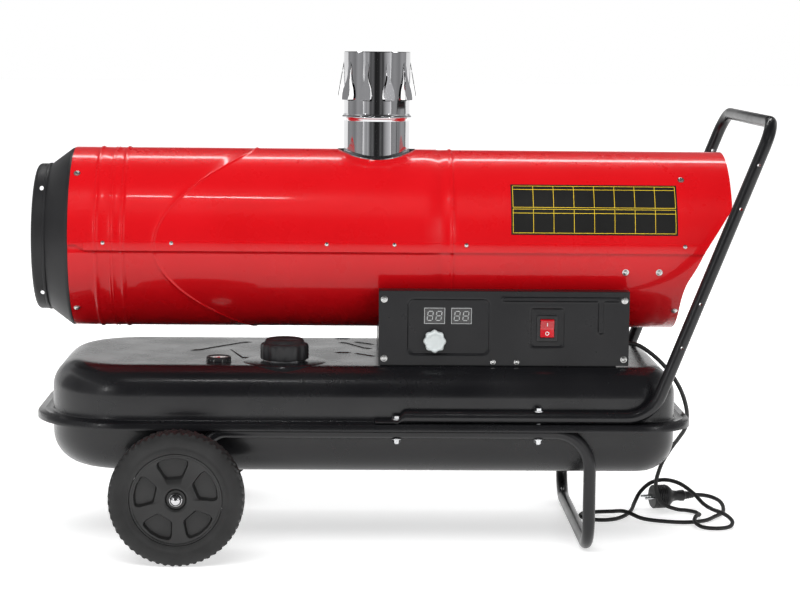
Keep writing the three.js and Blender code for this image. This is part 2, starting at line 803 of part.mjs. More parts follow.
function flueCowl() {
  const { radius, sheet, top, beadZ, beadRise } = flue;
  const axisZ = casing.axisZ;
  const seat = upperOuter + CLEAR + 1.6 + CLEAR;
  const bead = [
    [radius, beadZ - 4],
    [radius + beadRise, beadZ - 1.5],
    [radius + beadRise, beadZ + 1.5],
    [radius, beadZ + 4],
  ];
  const wall = turned("z", flue.sides, [
    [radius - sheet, axisZ + 80],
    [radius, axisZ + 80],
    ...bead,
    [radius, top],
    [radius - sheet, top],
    [radius - sheet, axisZ + 80],
  ]);
  const places = range(louvre.count).map((i) => turnTo(louvre.count, i + 0.5));
  const windows = places.map((a) => plateXZ(louvreOutline(), -radius - 9, -radius + 9).rotateZ(a));
  const tabs = places.map((a) =>
    plateXZ(louvreOutline(), -radius, sheet - radius)
      .translate(0, radius, -louvre.high)
      .rotateX(rad(-louvre.flare))
      .translate(0, -radius + 0.3, louvre.high + 1.5)
      .rotateZ(a),
  );
  const cowl = join(cut(wall, ...windows), ...tabs).translate([flue.x, 0, -axisZ]);
  return cut(cowl, rod("x", 64, seat, flue.x - 90, flue.x + 90));
}

function combustionChamber() {
  const { radius, front, rear, wall } = chamber;
  const mouth = burner.tube + CLEAR;
  const drum = turned("x", MEDIUM, [
    [0, front],
    [radius - 18, front + 8],
    [radius, front + 26],
    [radius, rear],
    [mouth, rear],
    [mouth, rear - wall],
    [radius - wall, rear - wall],
    [radius - wall, front + 27],
    [radius - 19, front + 8 + wall],
    [0, front + wall],
  ]);
  return cut(drum, crossoverBore());
}

const crossover = { x: -340, radius: 25 };
const crossoverBore = () =>
  rod("z", SMALL, crossover.radius - 2, -100, -60).translate(crossover.x, 0, 0);

function heatExchanger() {
  const { inner, outer, front, rear, wall } = exchanger;
  return cut(
    ring("x", LARGE, inner, outer, front, rear),
    ring("x", LARGE, inner + wall, outer - wall, front + wall, rear - wall),
    rod("z", flue.sides, flueInner - 2, outer - 20, outer + 5).translate(flue.x, 0, 0),
    crossoverBore(),
  );
}

// The flue gases pass from the chamber to the exchanger through a short duct at the bottom.
function crossoverDuct() {
  const duct = ring("z", SMALL, crossover.radius - 2, crossover.radius, -110, -50);
  const reach = [crossover.x - 50, crossover.x + 50];
  return cut(
    common(
      duct.translate(crossover.x, 0, 0),
      rod("x", LARGE, exchanger.inner - CLEAR, ...reach),
    ),
    rod("x", MEDIUM, chamber.radius + CLEAR, ...reach),
  );
}

// A ring round an inner piece, with three legs down to feet on the lower shell.
function spider(inner, x) {
  const shell = (casing.radius - SHEET) * Math.cos(Math.PI / LARGE) - CLEAR;
  const foot = Math.sqrt(shell ** 2 - 12 ** 2);
  const legs = [-60, 0, 60].flatMap((turn) => [
    block([x, x + 2], [-9, 9], [1 - foot, -inner - 3]).rotateX(rad(turn)),
    block([x, x + 16], [-12, 12], [-foot, 2 - foot]).rotateX(rad(turn)),
  ]);
  return join(ring("x", MEDIUM, inner, inner + 5, x, x + 10), ...legs);
}

function burnerTube() {
  const { tube, tubeFront, plateX } = burner;
  return cut(
    turned("x", MEDIUM, [
      [tube - 1.5, tubeFront],
      [tube, tubeFront],
      [tube, plateX - 3 - CLEAR],
      [tube + 12, plateX - 3 - CLEAR],
      [tube + 12, plateX - CLEAR],
      [tube - 1.5, plateX - CLEAR],
      [tube - 1.5, tubeFront],
    ]),
    rod("z", SMALL, 4 + CLEAR, -60, -20).translate(hoseX, 0, 0),
  );
}

// The fan housing of the burner: a drum with the tube's mouth in front and an inlet behind.
function blowerHousing() {
  const { tube, plateX, housing, housingRear } = burner;
  const wall = 2;
  const inlet = 34;
  return turned("x", MEDIUM, [
    [tube - 1.5, plateX],
    [housing, plateX],
    [housing, housingRear],
    [inlet, housingRear],
    [inlet, housingRear - wall],
    [housing - wall, housingRear - wall],
    [housing - wall, plateX + wall],
    [tube - 1.5, plateX + wall],
    [tube - 1.5, plateX],
  ]);
}

function burnerImpeller() {
  const { housing, plateX } = burner;
  const tip = housing - 9;
  const front = plateX + 8;
  const depth = 30;
  const blades = range(7).map((i) =>
    block([front + 1, front + depth], [-18.8, -17.2], [tip - 17, tip - 2]).rotateX(turnTo(7, i)),
  );
  return join(
    ring("x", MEDIUM, motor.shaft + CLEAR, tip, front, front + 2),
    ring("x", SMALL, motor.shaft + CLEAR, 13, front, front + 16),
    ...blades,
  );
}

function nozzleHolder() {
  const vane = burner.tube - 1.5 - CLEAR;
  const spray = burner.tubeFront + 8;
  const vanes = range(3).map((i) =>
    block([150, 166], [-0.8, 0.8], [5, vane - 0.2]).rotateX(turnTo(3, i + 0.5)),
  );
  return join(
    turned("x", SMALL, [
      [0, spray],
      [4, spray],
      [8, spray + 4],
      [8, spray + 14],
      [6.5, spray + 14],
      [6.5, hoseX + 8],
      [0, hoseX + 8],
    ]),
    rod("z", SMALL, 4, -burner.tube - 12, 0).translate(hoseX, 0, 0),
    ...vanes,
  );
}

// The flame disc: swirl slots round a short sleeve on the nozzle.
function diffuserDisc() {
  const face = burner.tubeFront + 6;
  const wires = [-1, 1].map((side) =>
    rod("x", 8, 2.2, face - 5, face + 5).translate(0, side * electrode.y, electrode.z),
  );
  return cut(
    join(
      ring("x", MEDIUM, 8 + CLEAR, burner.tube - 3, face, face + 1.5),
      ring("x", SMALL, 8 + CLEAR, 11, face, face + 10),
    ),
    ...wires,
  );
}

const electrode = { y: 9, z: 14.5 };

function ignitionElectrodes() {
  const back = 148;
  const { y, z } = electrode;
  const rods = [-y, y].map((at) => rod("x", SMALL, 3, 116.5, back).translate(0, at, z));
  const tips = [-y, y].map((at) => rod("x", 8, 1, 96, 117).translate(0, at, z));
  return join(
    ...rods,
    ...tips,
    block([128, 140], [-14, 14], [6.5 + CLEAR, 19]),
  );
}

function fanMotor() {
  const { radius, front, rear, shaft } = motor;
  const bore = (shaft + RUN) / Math.cos(Math.PI / MEDIUM);
  return turned("x", MEDIUM, [
    [bore, front],
    [20, front],
    [20, front + 6],
    [radius - 4, front + 6],
    [radius, front + 12],
    [radius, rear - 12],
    [radius - 4, rear - 6],
    [20, rear - 6],
    [20, rear],
    [bore, rear],
    [bore, front],
  ]);
}

// A blade is lofted from the hub to its tip: its chord grows and its pitch eases outwards.
function fanBlade() {
  const stations = [
    [fan.hub - 4, 30, 1.2],
    [76, 56, 0.85],
    [fan.radius, 58, 0.66],
  ];
  const rings = stations.map(([r, chord, share]) => {
    const pitch = rad(fan.pitch * share);
    const camber = chord * 0.08;
    const outline = [
      [-chord / 2, 0],
      [0, camber],
      [chord / 2, 0],
      [chord / 2, 1.6],
      [0, camber + 1.6],
      [-chord / 2, 1.6],
    ];
    return outline.map(([along, up]) =>
      v3(
        fan.front + fan.depth / 2 + along * Math.sin(pitch) + up * Math.cos(pitch),
        along * Math.cos(pitch) - up * Math.sin(pitch),
        r,
      ),
    );
  });
  return loft(rings, (p) => v2(p.y, p.x));
}

function axialFan() {
  const { front, depth, hub, blades } = fan;
  const bore = motor.shaft + CLEAR;
  const cup = turned("x", MEDIUM, [
    [bore, front],
    [hub - 3, front],
    [hub, front + 3],
    [hub, front + depth],
    [bore, front + depth],
    [bore, front],
  ]);
  return join(cup, ...range(blades).map((i) => fanBlade().rotateX(turnTo(blades, i))));
}

// The rear guard: square wires in rings and spokes, held by the lower shell.
function intakeGuard() {
  const x = 422;
  const wire = 3;
  const outer = (casing.radius - SHEET) * Math.cos(Math.PI / LARGE) - CLEAR;
  const rings = [outer, 84].map((r) => ring("x", MEDIUM, r - wire, r, x, x + wire));
  const spokes = [30, 90, 150].map((angle) =>
    block([x + 1, x + 1 + wire], [1.5 - outer, outer - 1.5], [-1.5, 1.5]).rotateX(rad(angle)),
  );
  return join(...rings, ...spokes, ring("x", SMALL, 22, 28, x, x + wire));
}

function overheatSensor() {
  const seat = exchanger.outer + CLEAR;
  return join(
    rod("z", MEDIUM, 8, seat, seat + 7),
    block([-12, 12], [-3, 3], [seat, seat + 1.5]),
    block([-3, 3], [-5, 5], [seat + 6, seat + 12]),
  ).translate(40, 0, 0);
}

const rotorSpan = { front: burner.plateX + 4, rear: fan.front + fan.depth + 8 };

const casingGroup = new THREE.Group();
casingGroup.position.z = casing.axisZ;
casingGroup.add(
  piece("casing_upper_shell", redPaint, casingUpperShell()),
  piece("casing_lower_shell", redPaint, casingLowerShell()),
  piece("outlet_cone", blackPaint, outletCone()),
  piece("flue_collar", stainless, flueCollar()),
  piece("flue_pipe", stainless, fluePipe()),
  piece("flue_cowl", stainless, flueCowl()),
  piece("combustion_chamber", stainless, combustionChamber()),
  piece("heat_exchanger", stainless, heatExchanger()),
  piece("crossover_duct", stainless, crossoverDuct()),
  piece("chamber_support_front", castGrey, spider(chamber.radius + CLEAR, -414)),
  piece("chamber_support_rear", castGrey, spider(chamber.radius + CLEAR, 88)),
  piece("burner_tube", castGrey, burnerTube()),
  piece("blower_housing", castGrey, blowerHousing()),
  piece("nozzle_holder", brass, nozzleHolder()),
  piece("diffuser_disc", stainless, diffuserDisc()),
  piece("ignition_electrodes", ceramic, ignitionElectrodes()),
  piece("overheat_sensor", ceramic, overheatSensor()),
  piece("fan_motor", castGrey, fanMotor()),
  piece("motor_bracket", castGrey, spider(motor.radius + CLEAR, 279)),
  piece("motor_shaft", zinc, rod("x", MEDIUM, motor.shaft, rotorSpan.front, rotorSpan.rear)),
  piece("burner_impeller", zinc, burnerImpeller()),
  piece("axial_fan", castGrey, axialFan()),
  piece("intake_guard", zinc, intakeGuard()),
);

// ---------------------------------------------------------------- control box on the tank
const boxFloor = tank.top + CLEAR;
const saddle = casing.radius + CLEAR;

function controlBox() {
  const { left, right, halfWidth, top } = box;
  const cable = 5;
  const bead = casing.beads.at(-1);
  return cut(
    block([left, right], [-halfWidth, halfWidth], [boxFloor, top]),
    block(
      [left + SHEET, right - SHEET],
      [-halfWidth - 10, halfWidth - SHEET],
      [boxFloor + SHEET, top - SHEET],
    ),
    rod("x", LARGE, saddle, left - 10, right + 10).translate(0, 0, casing.axisZ),
    rod("x", LARGE, saddle + casing.bead, bead - 7, bead + 7).translate(0, 0, casing.axisZ),
    rod("z", SMALL, pickup.tube + 2, boxFloor - 5, boxFloor + 5).translate(pickup.x, pickup.y, 0),
    rod("x", SMALL, cable, right - 5, right + 5).translate(0, gland.y, gland.z),
  );
}

const panelFront = -155;
const panelBack = panelFront + SHEET;
const displays = [
  [37.3, 68.9],
  [78.3, 109.4],
];
const displayZ = [342.3, 366.8];

// The panel is a folded cover: its face has two shallow pressed recesses, a top return, and
// cut-outs for the displays, the knob's shaft and the switch.
function controlPanel() {
  const { left, right, bottom, top, recess } = panel;
  const deep = panelFront + recess;
  const recesses = [
    [13, 136.1, 296.4, 379.7],
    [199.6, 248.9, 308.4, 366.6],
  ];
  const pans = recesses.map(([x0, x1, z0, z1]) =>
    plateXZ(roundedRect(x0 - 1.5, x1 + 1.5, z0 - 1.5, z1 + 1.5, 6), panelFront, deep + SHEET, 2),
  );
  const pockets = recesses.map(([x0, x1, z0, z1]) =>
    plateXZ(roundedRect(x0, x1, z0, z1, 5), panelFront - 1, deep, 2),
  );
  const windows = displays.map(([x0, x1]) => block([x0, x1], [-160, -140], displayZ));
  const inward = -Math.sqrt(upperOuter ** 2 - (top - casing.axisZ) ** 2) - 2;
  return cut(
    join(
      block([left, right], [panelFront, panelBack], [bottom, top]),
      block([left, right], [panelFront, inward], [top - SHEET, top]),
      ...pans,
    ),
    ...pockets,
    ...windows,
    rod("y", SMALL, knob.shaft + 1, -160, -140).translate(knob.x, 0, knob.z),
    block(
      [rocker.x - switchBody.half, rocker.x + switchBody.half],
      [-160, -140],
      [rocker.z - switchBody.high, rocker.z + switchBody.high],
    ),
  );
}

const switchBody = { half: 13.5, high: 17.5, rimHalf: 16, rimHigh: 20, pivotY: -152 };

function switchHousing() {
  const { half, high, rimHalf, rimHigh } = switchBody;
  const face = panelFront + panel.recess; // the recess's floor, seen from the front
  const rocks = rocker.height / 2 + 0.5;
  const well = block(
    [-rocker.width / 2 - 0.5, rocker.width / 2 + 0.5],
    [face - 10, switchBody.pivotY + 12],
    [-rocks, rocks],
  );
  return cut(
    join(
      block([-rimHalf, rimHalf], [face - 2.5, face - CLEAR], [-rimHigh, rimHigh]),
      block([CLEAR - half, half - CLEAR], [face - 1, -126], [CLEAR - high, high - CLEAR]),
    ),
    well,
  ).translate([rocker.x, 0, rocker.z]);
}

// The rocker turns about a line along X: its ends follow a circle, and its face is a shallow V.
function rockerSwitch() {
  const r = rocker.height / 2;
  const end = (side, angle) => v2(-r * Math.sin(rad(angle)), side * r * Math.cos(rad(angle)));
  const profile = new THREE.Shape([
    ...[-20, 2.5, 25].map((angle) => end(1, angle)),
    v2(-3.2, 0),
    ...[25, 2.5, -20].map((angle) => end(-1, angle)),
  ]);
  return plateYZ(profile, -rocker.width / 2, rocker.width / 2);
}

function thermostatKnob() {
  const face = panelFront + panel.recess;
  const back = face - 1;
  const grip = plateXZ(lobedOutline(knob.radius, knob.lobeDepth, knob.lobes, 5), back - knob.depth, back);
  const shaft = rod("y", SMALL, knob.shaft, back - 2, -134);
  return join(grip, shaft);
}

function thermostat() {
  const bore = (knob.shaft + RUN) / Math.cos(Math.PI / SMALL);
  return turned("y", SMALL, [
    [bore, -149.5],
    [4.6, -149.5],
    [4.6, -146],
    [13, -146],
    [13, -130],
    [0, -130],
    [0, -133],
    [bore, -133],
    [bore, -149.5],
  ]);
}

function displayModule() {
  const back = panelFront + panel.recess + SHEET + CLEAR;
  const windows = displays.map(([x0, x1]) =>
    block(
      [x0 + CLEAR, x1 - CLEAR],
      [panelFront + panel.recess + 0.4, back + 1],
      [displayZ[0] + CLEAR, displayZ[1] - CLEAR],
    ),
  );
  return join(block([30, 118], [back, back + 9], [337, 372]), ...windows);
}

// The main board stands on its foot behind the panel.
function circuitBoard() {
  const floor = boxFloor + SHEET + CLEAR;
  return join(
    block([-10, 120], [-112, -110.4], [floor, floor + 42]),
    block([-10, 120], [-112, -100], [floor, floor + 1.6]),
    block([2, 22], [-111, -96], [floor + 12, floor + 26]),
    block([40, 58], [-111, -99], [floor + 14, floor + 32]),
    rod("y", SMALL, 8, -111, -92).translate(90, 0, floor + 20),
  );
}

function ignitionTransformer() {
  const floor = boxFloor + SHEET + CLEAR;
  return join(
    block([240, 300], [-105, -60], [floor, floor + 34]),
    block([232, 308], [-100, -65], [floor, floor + 2]),
    rod("y", SMALL, 4, -62, -50).translate(255, 0, floor + 18),
    rod("y", SMALL, 4, -62, -50).translate(285, 0, floor + 18),
  );
}

const pump = { x0: 150, x1: 214, radius: 14 };
const pumpZ = boxFloor + SHEET + CLEAR + 2 + pump.radius;

function fuelPump() {
  const floor = boxFloor + SHEET + CLEAR;
  return join(
    rod("x", SMALL, pump.radius, pump.x0 + 4, pump.x1).translate(0, 0, pumpZ),
    rod("x", SMALL, 3, pump.x0, pump.x0 + 6).translate(0, 0, pumpZ),
    rod("z", SMALL, 3, pumpZ, pumpZ + pump.radius + 4).translate(hoseX, 0, 0),
    block([pump.x0 + 10, pump.x1 - 6], [-20, 20], [floor, floor + 2]),
    block([pump.x0 + 14, pump.x1 - 10], [-5, 5], [floor, pumpZ]),
  );
}

const filter = { x0: 92, x1: 142, radius: 11 };

function fuelFilter() {
  const floor = boxFloor + SHEET + CLEAR;
  return join(
    rod("x", SMALL, filter.radius, filter.x0 + 6, filter.x1 - 6).translate(0, 0, pumpZ),
    rod("x", SMALL, 3, filter.x0, pump.x0 - CLEAR).translate(0, 0, pumpZ),
    block([filter.x0 + 16, filter.x1 - 16], [-4, 4], [floor, pumpZ]),
  );
}

const hoseRadius = 3.5;

// From the pickup on the tank to the filter.
function suctionHose() {
  const start = tank.top + SHEET + 2 * CLEAR + 12 + CLEAR;
  return bentTube(
    [
      v3(pickup.x, pickup.y, start),
      v3(pickup.x, pickup.y, start + 22),
      v3(pickup.x, 0, pumpZ),
      v3(filter.x0 - CLEAR, 0, pumpZ),
    ],
    [14, 22],
    hoseRadius,
    8,
  );
}

// Straight up from the pump to the nozzle's inlet.
function deliveryHose() {
  const low = pumpZ + pump.radius + 4 + CLEAR;
  const high = casing.axisZ - burner.tube - 12 - CLEAR;
  return rod("z", SMALL, hoseRadius, low, high).translate(hoseX, 0, 0);
}

const gland = { y: -90, z: 306, nut: 9, nutLength: 6, reliefEnd: 352 };

function cableGland() {
  const from = box.right + CLEAR;
  return join(
    rod("x", 6, gland.nut, from, from + gland.nutLength),
    turned("x", SMALL, [
      [0, from + gland.nutLength - 1],
      [7, from + gland.nutLength - 1],
      [cord.radius + 1.2, gland.reliefEnd],
      [0, gland.reliefEnd],
    ]),
  ).translate(0, gland.y, gland.z);
}

const boxGroup = new THREE.Group();
boxGroup.add(
  piece("control_box", blackPaint, controlBox()),
  piece("control_panel", blackPaint, controlPanel()),
  piece("display_module", blackPlastic, displayModule()),
  piece("switch_housing", blackPlastic, switchHousing()),
  piece("circuit_board", circuitGreen, circuitBoard()),
  piece("ignition_transformer", blackPlastic, ignitionTransformer()),
  piece("fuel_pump", zinc, fuelPump()),
  piece("fuel_filter", whitePlastic, fuelFilter()),
  piece("suction_hose", rubber, suctionHose()),
  piece("delivery_hose", rubber, deliveryHose()),
  piece("cable_gland", blackPlastic, cableGland()),
);
for (const [name, material, shape] of [
  ["thermostat_knob", greyPlastic, thermostatKnob()],
  ["thermostat", blackPlastic, thermostat()],
]) {
  const mesh = piece(name, material, shape);
  mesh.position.set(knob.x, 0, knob.z);
  boxGroup.add(mesh);
}
const rockerPiece = piece("rocker_switch", redPlastic, rockerSwitch());
rockerPiece.position.set(rocker.x, switchBody.pivotY, rocker.z);
rockerPiece.rotation.x = rad(rocker.tilt); // off: its lower end is pressed in
boxGroup.add(rockerPiece);

// ---------------------------------------------------------------- mains cord and plug
// The cord leaves the gland, falls round the end of the tank to the floor in front of its plug,
// turns in a small loop, climbs back over the plug and runs in a long loop into the plug's end.
const plugTurn = 14; // degrees that the plug lies askew
const plugRelief = 74;
const cordRoute = [
  [gland.reliefEnd + 2 * CLEAR, gland.y, gland.z],
  [370, -90, 303.4],
  [393, -89, 289],
  [419, -85, 264],
  [441, -74, 232],
  [455, -54, 195],
  [459, -20, 163],
  [456, 26, 137],
  [448, 66, 110],
  [437, 91, 78],
  [431, 98.5, 43],
  [440.5, 98.5, 16],
  [466, 97.5, 5],
  [482, 93.5, 4],
  [493, 82, 4],
  [497, 65, 4.4],
  [494, 38, 8.5],
  [484, 11, 11.5],
  [479, -12, 8],
  [487.5, -33.5, 4.4],
  [509, -42.5, 4],
  [530.5, -33.5, 4.6],
  [539.5, -12, 7.5],
  [537, 16, 10.5],
  [530, 43, 11.5],
  [520, 70, 11],
  [509, 93, 15.5],
  [494, 111, 30],
  [473, 125, 43],
  [450, 135.5, 46.5],
  [429, 143, 40],
  [412, 143, 25],
  [401.5, 131, 10.5],
  [394, 107, 4.2],
  [384, 73, 4],
  [370.5, 43.5, 4],
  [354.5, 24, 4],
  [333, 16.5, 4],
  [311, 25.5, 4],
  [302, 48, 4],
  [311, 70.5, 4],
  [333, 79, 4],
  [355, 71, 6.5],
  [374, 48, 11.5],
  [400, 25, 5],
  [434, 8, 4],
  [470, 2, 4],
  [500, 16, 4],
  [521, 47, 4],
  [538, 76, 4.2],
  [543, 96, 6.6],
  [543.5, 117.5, 10.8],
  [539, 132.6, 14],
  [527.4, 142.1, 17.4],
  [512.3, 143.7, 19.5],
  [501.1, 141, 20.4],
].map((p) => v3(...p));

function powerCord() {
  const curve = new THREE.CatmullRomCurve3(cordRoute, false, "centripetal");
  return sweep(curve, 80, cord.radius, cord.sides);
}

function powerPlug() {
  const { front, radius, pin, pinGap, pinLength } = plug;
  const body = turned("x", MEDIUM, [
    [0, front],
    [radius, front],
    [radius, front + 24],
    [radius - 3, front + 31],
    [9, front + 37],
    [9, front + 56],
    [6.5, front + 58],
    [cord.radius + 1.2, front + plugRelief],
    [0, front + plugRelief],
  ]);
  const pins = [-1, 1].map((side) =>
    rod("x", SMALL, pin, front - pinLength, front + 5).translate(0, (side * pinGap) / 2, 0),
  );
  return join(body, ...pins)
    .translate([-plug.middle, 0, 0])
    .rotate([0, 0, plugTurn])
    .translate([plug.middle, plug.y, radius + 1]);
}

const cordGroup = new THREE.Group();
cordGroup.add(
  piece("power_cord", rubber, powerCord()),
  piece("power_plug", blackPlastic, powerPlug()),
);

const heater = new THREE.Group();
heater.add(tankGroup, standGroup, handleGroup, casingGroup, boxGroup, cordGroup);
export default heater;
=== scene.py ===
import json
from math import cos, hypot, pi, radians, sin, sqrt, tan, tau

import bmesh
import bpy
from mathutils import Matrix, Vector


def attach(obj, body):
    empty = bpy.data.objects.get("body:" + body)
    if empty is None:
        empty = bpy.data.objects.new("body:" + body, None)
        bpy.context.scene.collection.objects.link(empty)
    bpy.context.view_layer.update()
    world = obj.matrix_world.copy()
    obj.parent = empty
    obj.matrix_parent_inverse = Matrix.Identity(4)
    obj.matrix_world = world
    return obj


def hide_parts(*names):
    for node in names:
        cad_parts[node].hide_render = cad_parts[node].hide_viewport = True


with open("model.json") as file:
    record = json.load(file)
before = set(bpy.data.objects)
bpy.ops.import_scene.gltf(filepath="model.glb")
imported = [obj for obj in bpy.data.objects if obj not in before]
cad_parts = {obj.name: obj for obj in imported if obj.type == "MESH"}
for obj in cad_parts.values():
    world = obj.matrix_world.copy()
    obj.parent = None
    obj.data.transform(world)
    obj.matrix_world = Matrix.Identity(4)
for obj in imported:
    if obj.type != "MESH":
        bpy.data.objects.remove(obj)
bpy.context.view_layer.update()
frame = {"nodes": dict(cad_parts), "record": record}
nodes = frame["nodes"]
MM = 0.001


def placed(name, data):
    """A new object in the scene."""
    made = bpy.data.objects.new(name, data)
    bpy.context.scene.collection.objects.link(made)
    return made


# ---------------------------------------------------------------- camera
CAMERA = {"at": (-94.22, -3560.0, 782.7), "lens": 102.23, "sensor": 36}
CAMERA_YAW = -0.0278
CAMERA_PITCH = 0.1181  # downwards
CAMERA_ROLL = 0.0097


def make_camera():
    data = bpy.data.cameras.new("camera")
    data.sensor_width = CAMERA["sensor"]
    data.lens = CAMERA["lens"]
    data.clip_end = 100
    level = cos(CAMERA_PITCH)
    ahead = Vector((-sin(CAMERA_YAW) * level, cos(CAMERA_YAW) * level, -sin(CAMERA_PITCH)))
    level_right = Vector((cos(CAMERA_YAW), sin(CAMERA_YAW), 0))
    level_up = level_right.cross(ahead)
    right = level_right * cos(CAMERA_ROLL) + level_up * sin(CAMERA_ROLL)
    up = level_up * cos(CAMERA_ROLL) - level_right * sin(CAMERA_ROLL)
    camera = placed("camera", data)
    turned = Matrix((right, up, -ahead)).transposed().to_4x4()
    camera.matrix_world = Matrix.Translation(Vector(CAMERA["at"]) * MM) @ turned
    bpy.context.scene.camera = camera


make_camera()


# ---------------------------------------------------------------- materials
NOISE_SPAN = (0.3, 0.7)  # what most of a noise's values lie between


class Finish:
    """A node material under construction: short ways to add and join its nodes."""

    def __init__(self, name):
        self.material = bpy.data.materials.new(name)
        self.material.use_nodes = True
        self.tree = self.material.node_tree
        self.shader = self.tree.nodes["Principled BSDF"]
        self.place = self.add("ShaderNodeTexCoord").outputs["Object"]

    def add(self, kind, **settings):
        node = self.tree.nodes.new(kind)
        for key, value in settings.items():
            setattr(node, key, value)
        return node

    def join(self, source, target):
        self.tree.links.new(source, target)

    def fixed(self, **values):
        for key, value in values.items():
            self.shader.inputs[key.replace("_", " ")].default_value = value

    def noise(self, scale, detail=3.0, rough=0.5, stretch=None):
        node = self.add("ShaderNodeTexNoise")
        node.inputs["Scale"].default_value = scale
        node.inputs["Detail"].default_value = detail
        node.inputs["Roughness"].default_value = rough
        self.join(self.stretched(stretch), node.inputs["Vector"])
        return node.outputs["Fac"]

    def stretched(self, stretch):
        if stretch is None:
            return self.place
        mapping = self.add("ShaderNodeMapping")
        mapping.inputs["Scale"].default_value = stretch
        self.join(self.place, mapping.inputs["Vector"])
        return mapping.outputs["Vector"]

    def ramp(self, factor, low, high):
        node = self.add("ShaderNodeValToRGB")
        for element, at, tone in zip(node.color_ramp.elements, NOISE_SPAN, (low, high)):
            element.position = at
            element.color = (*tone, 1)
        self.join(factor, node.inputs["Fac"])
        return node.outputs["Color"]

    def spread(self, factor, low, high):
        node = self.add("ShaderNodeMapRange")
        values = {"From Min": NOISE_SPAN[0], "From Max": NOISE_SPAN[1], "To Min": low, "To Max": high}
        for key, value in values.items():
            node.inputs[key].default_value = value
        self.join(factor, node.inputs["Value"])
        return node.outputs["Result"]

    def bump(self, height, strength, distance):
        node = self.add("ShaderNodeBump")
        node.inputs["Strength"].default_value = strength
        node.inputs["Distance"].default_value = distance
        self.join(height, node.inputs["Height"])
        self.join(node.outputs["Normal"], self.shader.inputs["Normal"])

    def colour(self, low, high, scale):
        tone = self.ramp(self.noise(scale, 4.0), low, high)
        self.join(tone, self.shader.inputs["Base Color"])

    def rough(self, low, high, scale, stretch=None):
        value = self.spread(self.noise(scale, 4.0, 0.6, stretch), low, high)
        self.join(value, self.shader.inputs["Roughness"])


def paint(name, low, high, rough, peel, coat, gloss=0.3):
    """Sprayed paint: a slightly uneven colour, orange peel and a clear gloss."""
    made = Finish(name)
    made.colour(low, high, 9.0)
    made.rough(*rough, 14.0)
    made.fixed(Coat_Weight=coat, Coat_Roughness=0.05, Specular_IOR_Level=gloss)
    made.bump(made.noise(420.0, 2.0), peel, 0.0004)
    return made.material


def metal(name, low, high, rough, stretch=None, grain=0.05):
    """Bare or plated metal, whose grain may be stretched along the piece."""
    made = Finish(name)
    made.colour(low, high, 22.0)
    made.rough(*rough, 60.0, stretch)
    made.fixed(Metallic=1.0)
    made.bump(made.noise(260.0, 3.0, 0.5, stretch), grain, 0.0003)
    return made.material


def moulded(name, low, high, rough, grain, grain_scale=900.0, coat=0.0):
    """Moulded plastic or rubber, with a fine grain."""
    made = Finish(name)
    made.colour(low, high, 30.0)
    made.rough(*rough, 25.0)
    made.fixed(Coat_Weight=coat, Coat_Roughness=0.15)
    made.bump(made.noise(grain_scale, 3.0), grain, 0.0004)
    return made.material


# For each paint its two tones, then its roughness, orange peel, clear coat and gloss.
PAINTS = {
    "red_paint": ((0.56, 0.003, 0.006), (0.60, 0.004, 0.008), (0.26, 0.30), 0.012, 0.45, 0.15),
    "black_paint": ((0.006, 0.006, 0.007), (0.010, 0.010, 0.011), (0.30, 0.40), 0.10, 0.0),
    "outlet_paint": ((0.012, 0.012, 0.013), (0.020, 0.020, 0.021), (0.42, 0.5), 0.15, 0.0),
    "tank_paint": ((0.005, 0.005, 0.006), (0.009, 0.009, 0.010), (0.22, 0.3), 0.05, 0.1, 0.4),
    "tube_paint": ((0.005, 0.005, 0.006), (0.009, 0.009, 0.010), (0.26, 0.36), 0.08, 0.1, 0.4),
    "panel_paint": ((0.007, 0.007, 0.008), (0.011, 0.011, 0.012), (0.26, 0.34), 0.08, 0.0, 0.32),
    "plate_black": ((0.010, 0.010, 0.010), (0.014, 0.014, 0.013), (0.3, 0.36), 0.02, 0.0),
    "plate_yellow": ((0.75, 0.52, 0.02), (0.80, 0.57, 0.03), (0.35, 0.45), 0.02, 0.0),
}
# For each metal its two tones, then its roughness, the stretch of its grain and the grain's depth.
METALS = {
    "screw_zinc": ((0.58, 0.58, 0.57), (0.66, 0.66, 0.65), (0.22, 0.34)),
    "chrome": ((0.62, 0.62, 0.63), (0.66, 0.66, 0.67), (0.03, 0.06), None, 0.01),
    "stainless": ((0.60, 0.60, 0.61), (0.68, 0.68, 0.69), (0.07, 0.16), (1, 1, 0.04)),
    "cast_grey": ((0.20, 0.205, 0.21), (0.27, 0.275, 0.28), (0.5, 0.65), None, 0.3),
    "zinc": ((0.55, 0.56, 0.57), (0.68, 0.69, 0.70), (0.22, 0.38)),
    "brass": ((0.55, 0.38, 0.13), (0.66, 0.47, 0.18), (0.2, 0.35)),
}
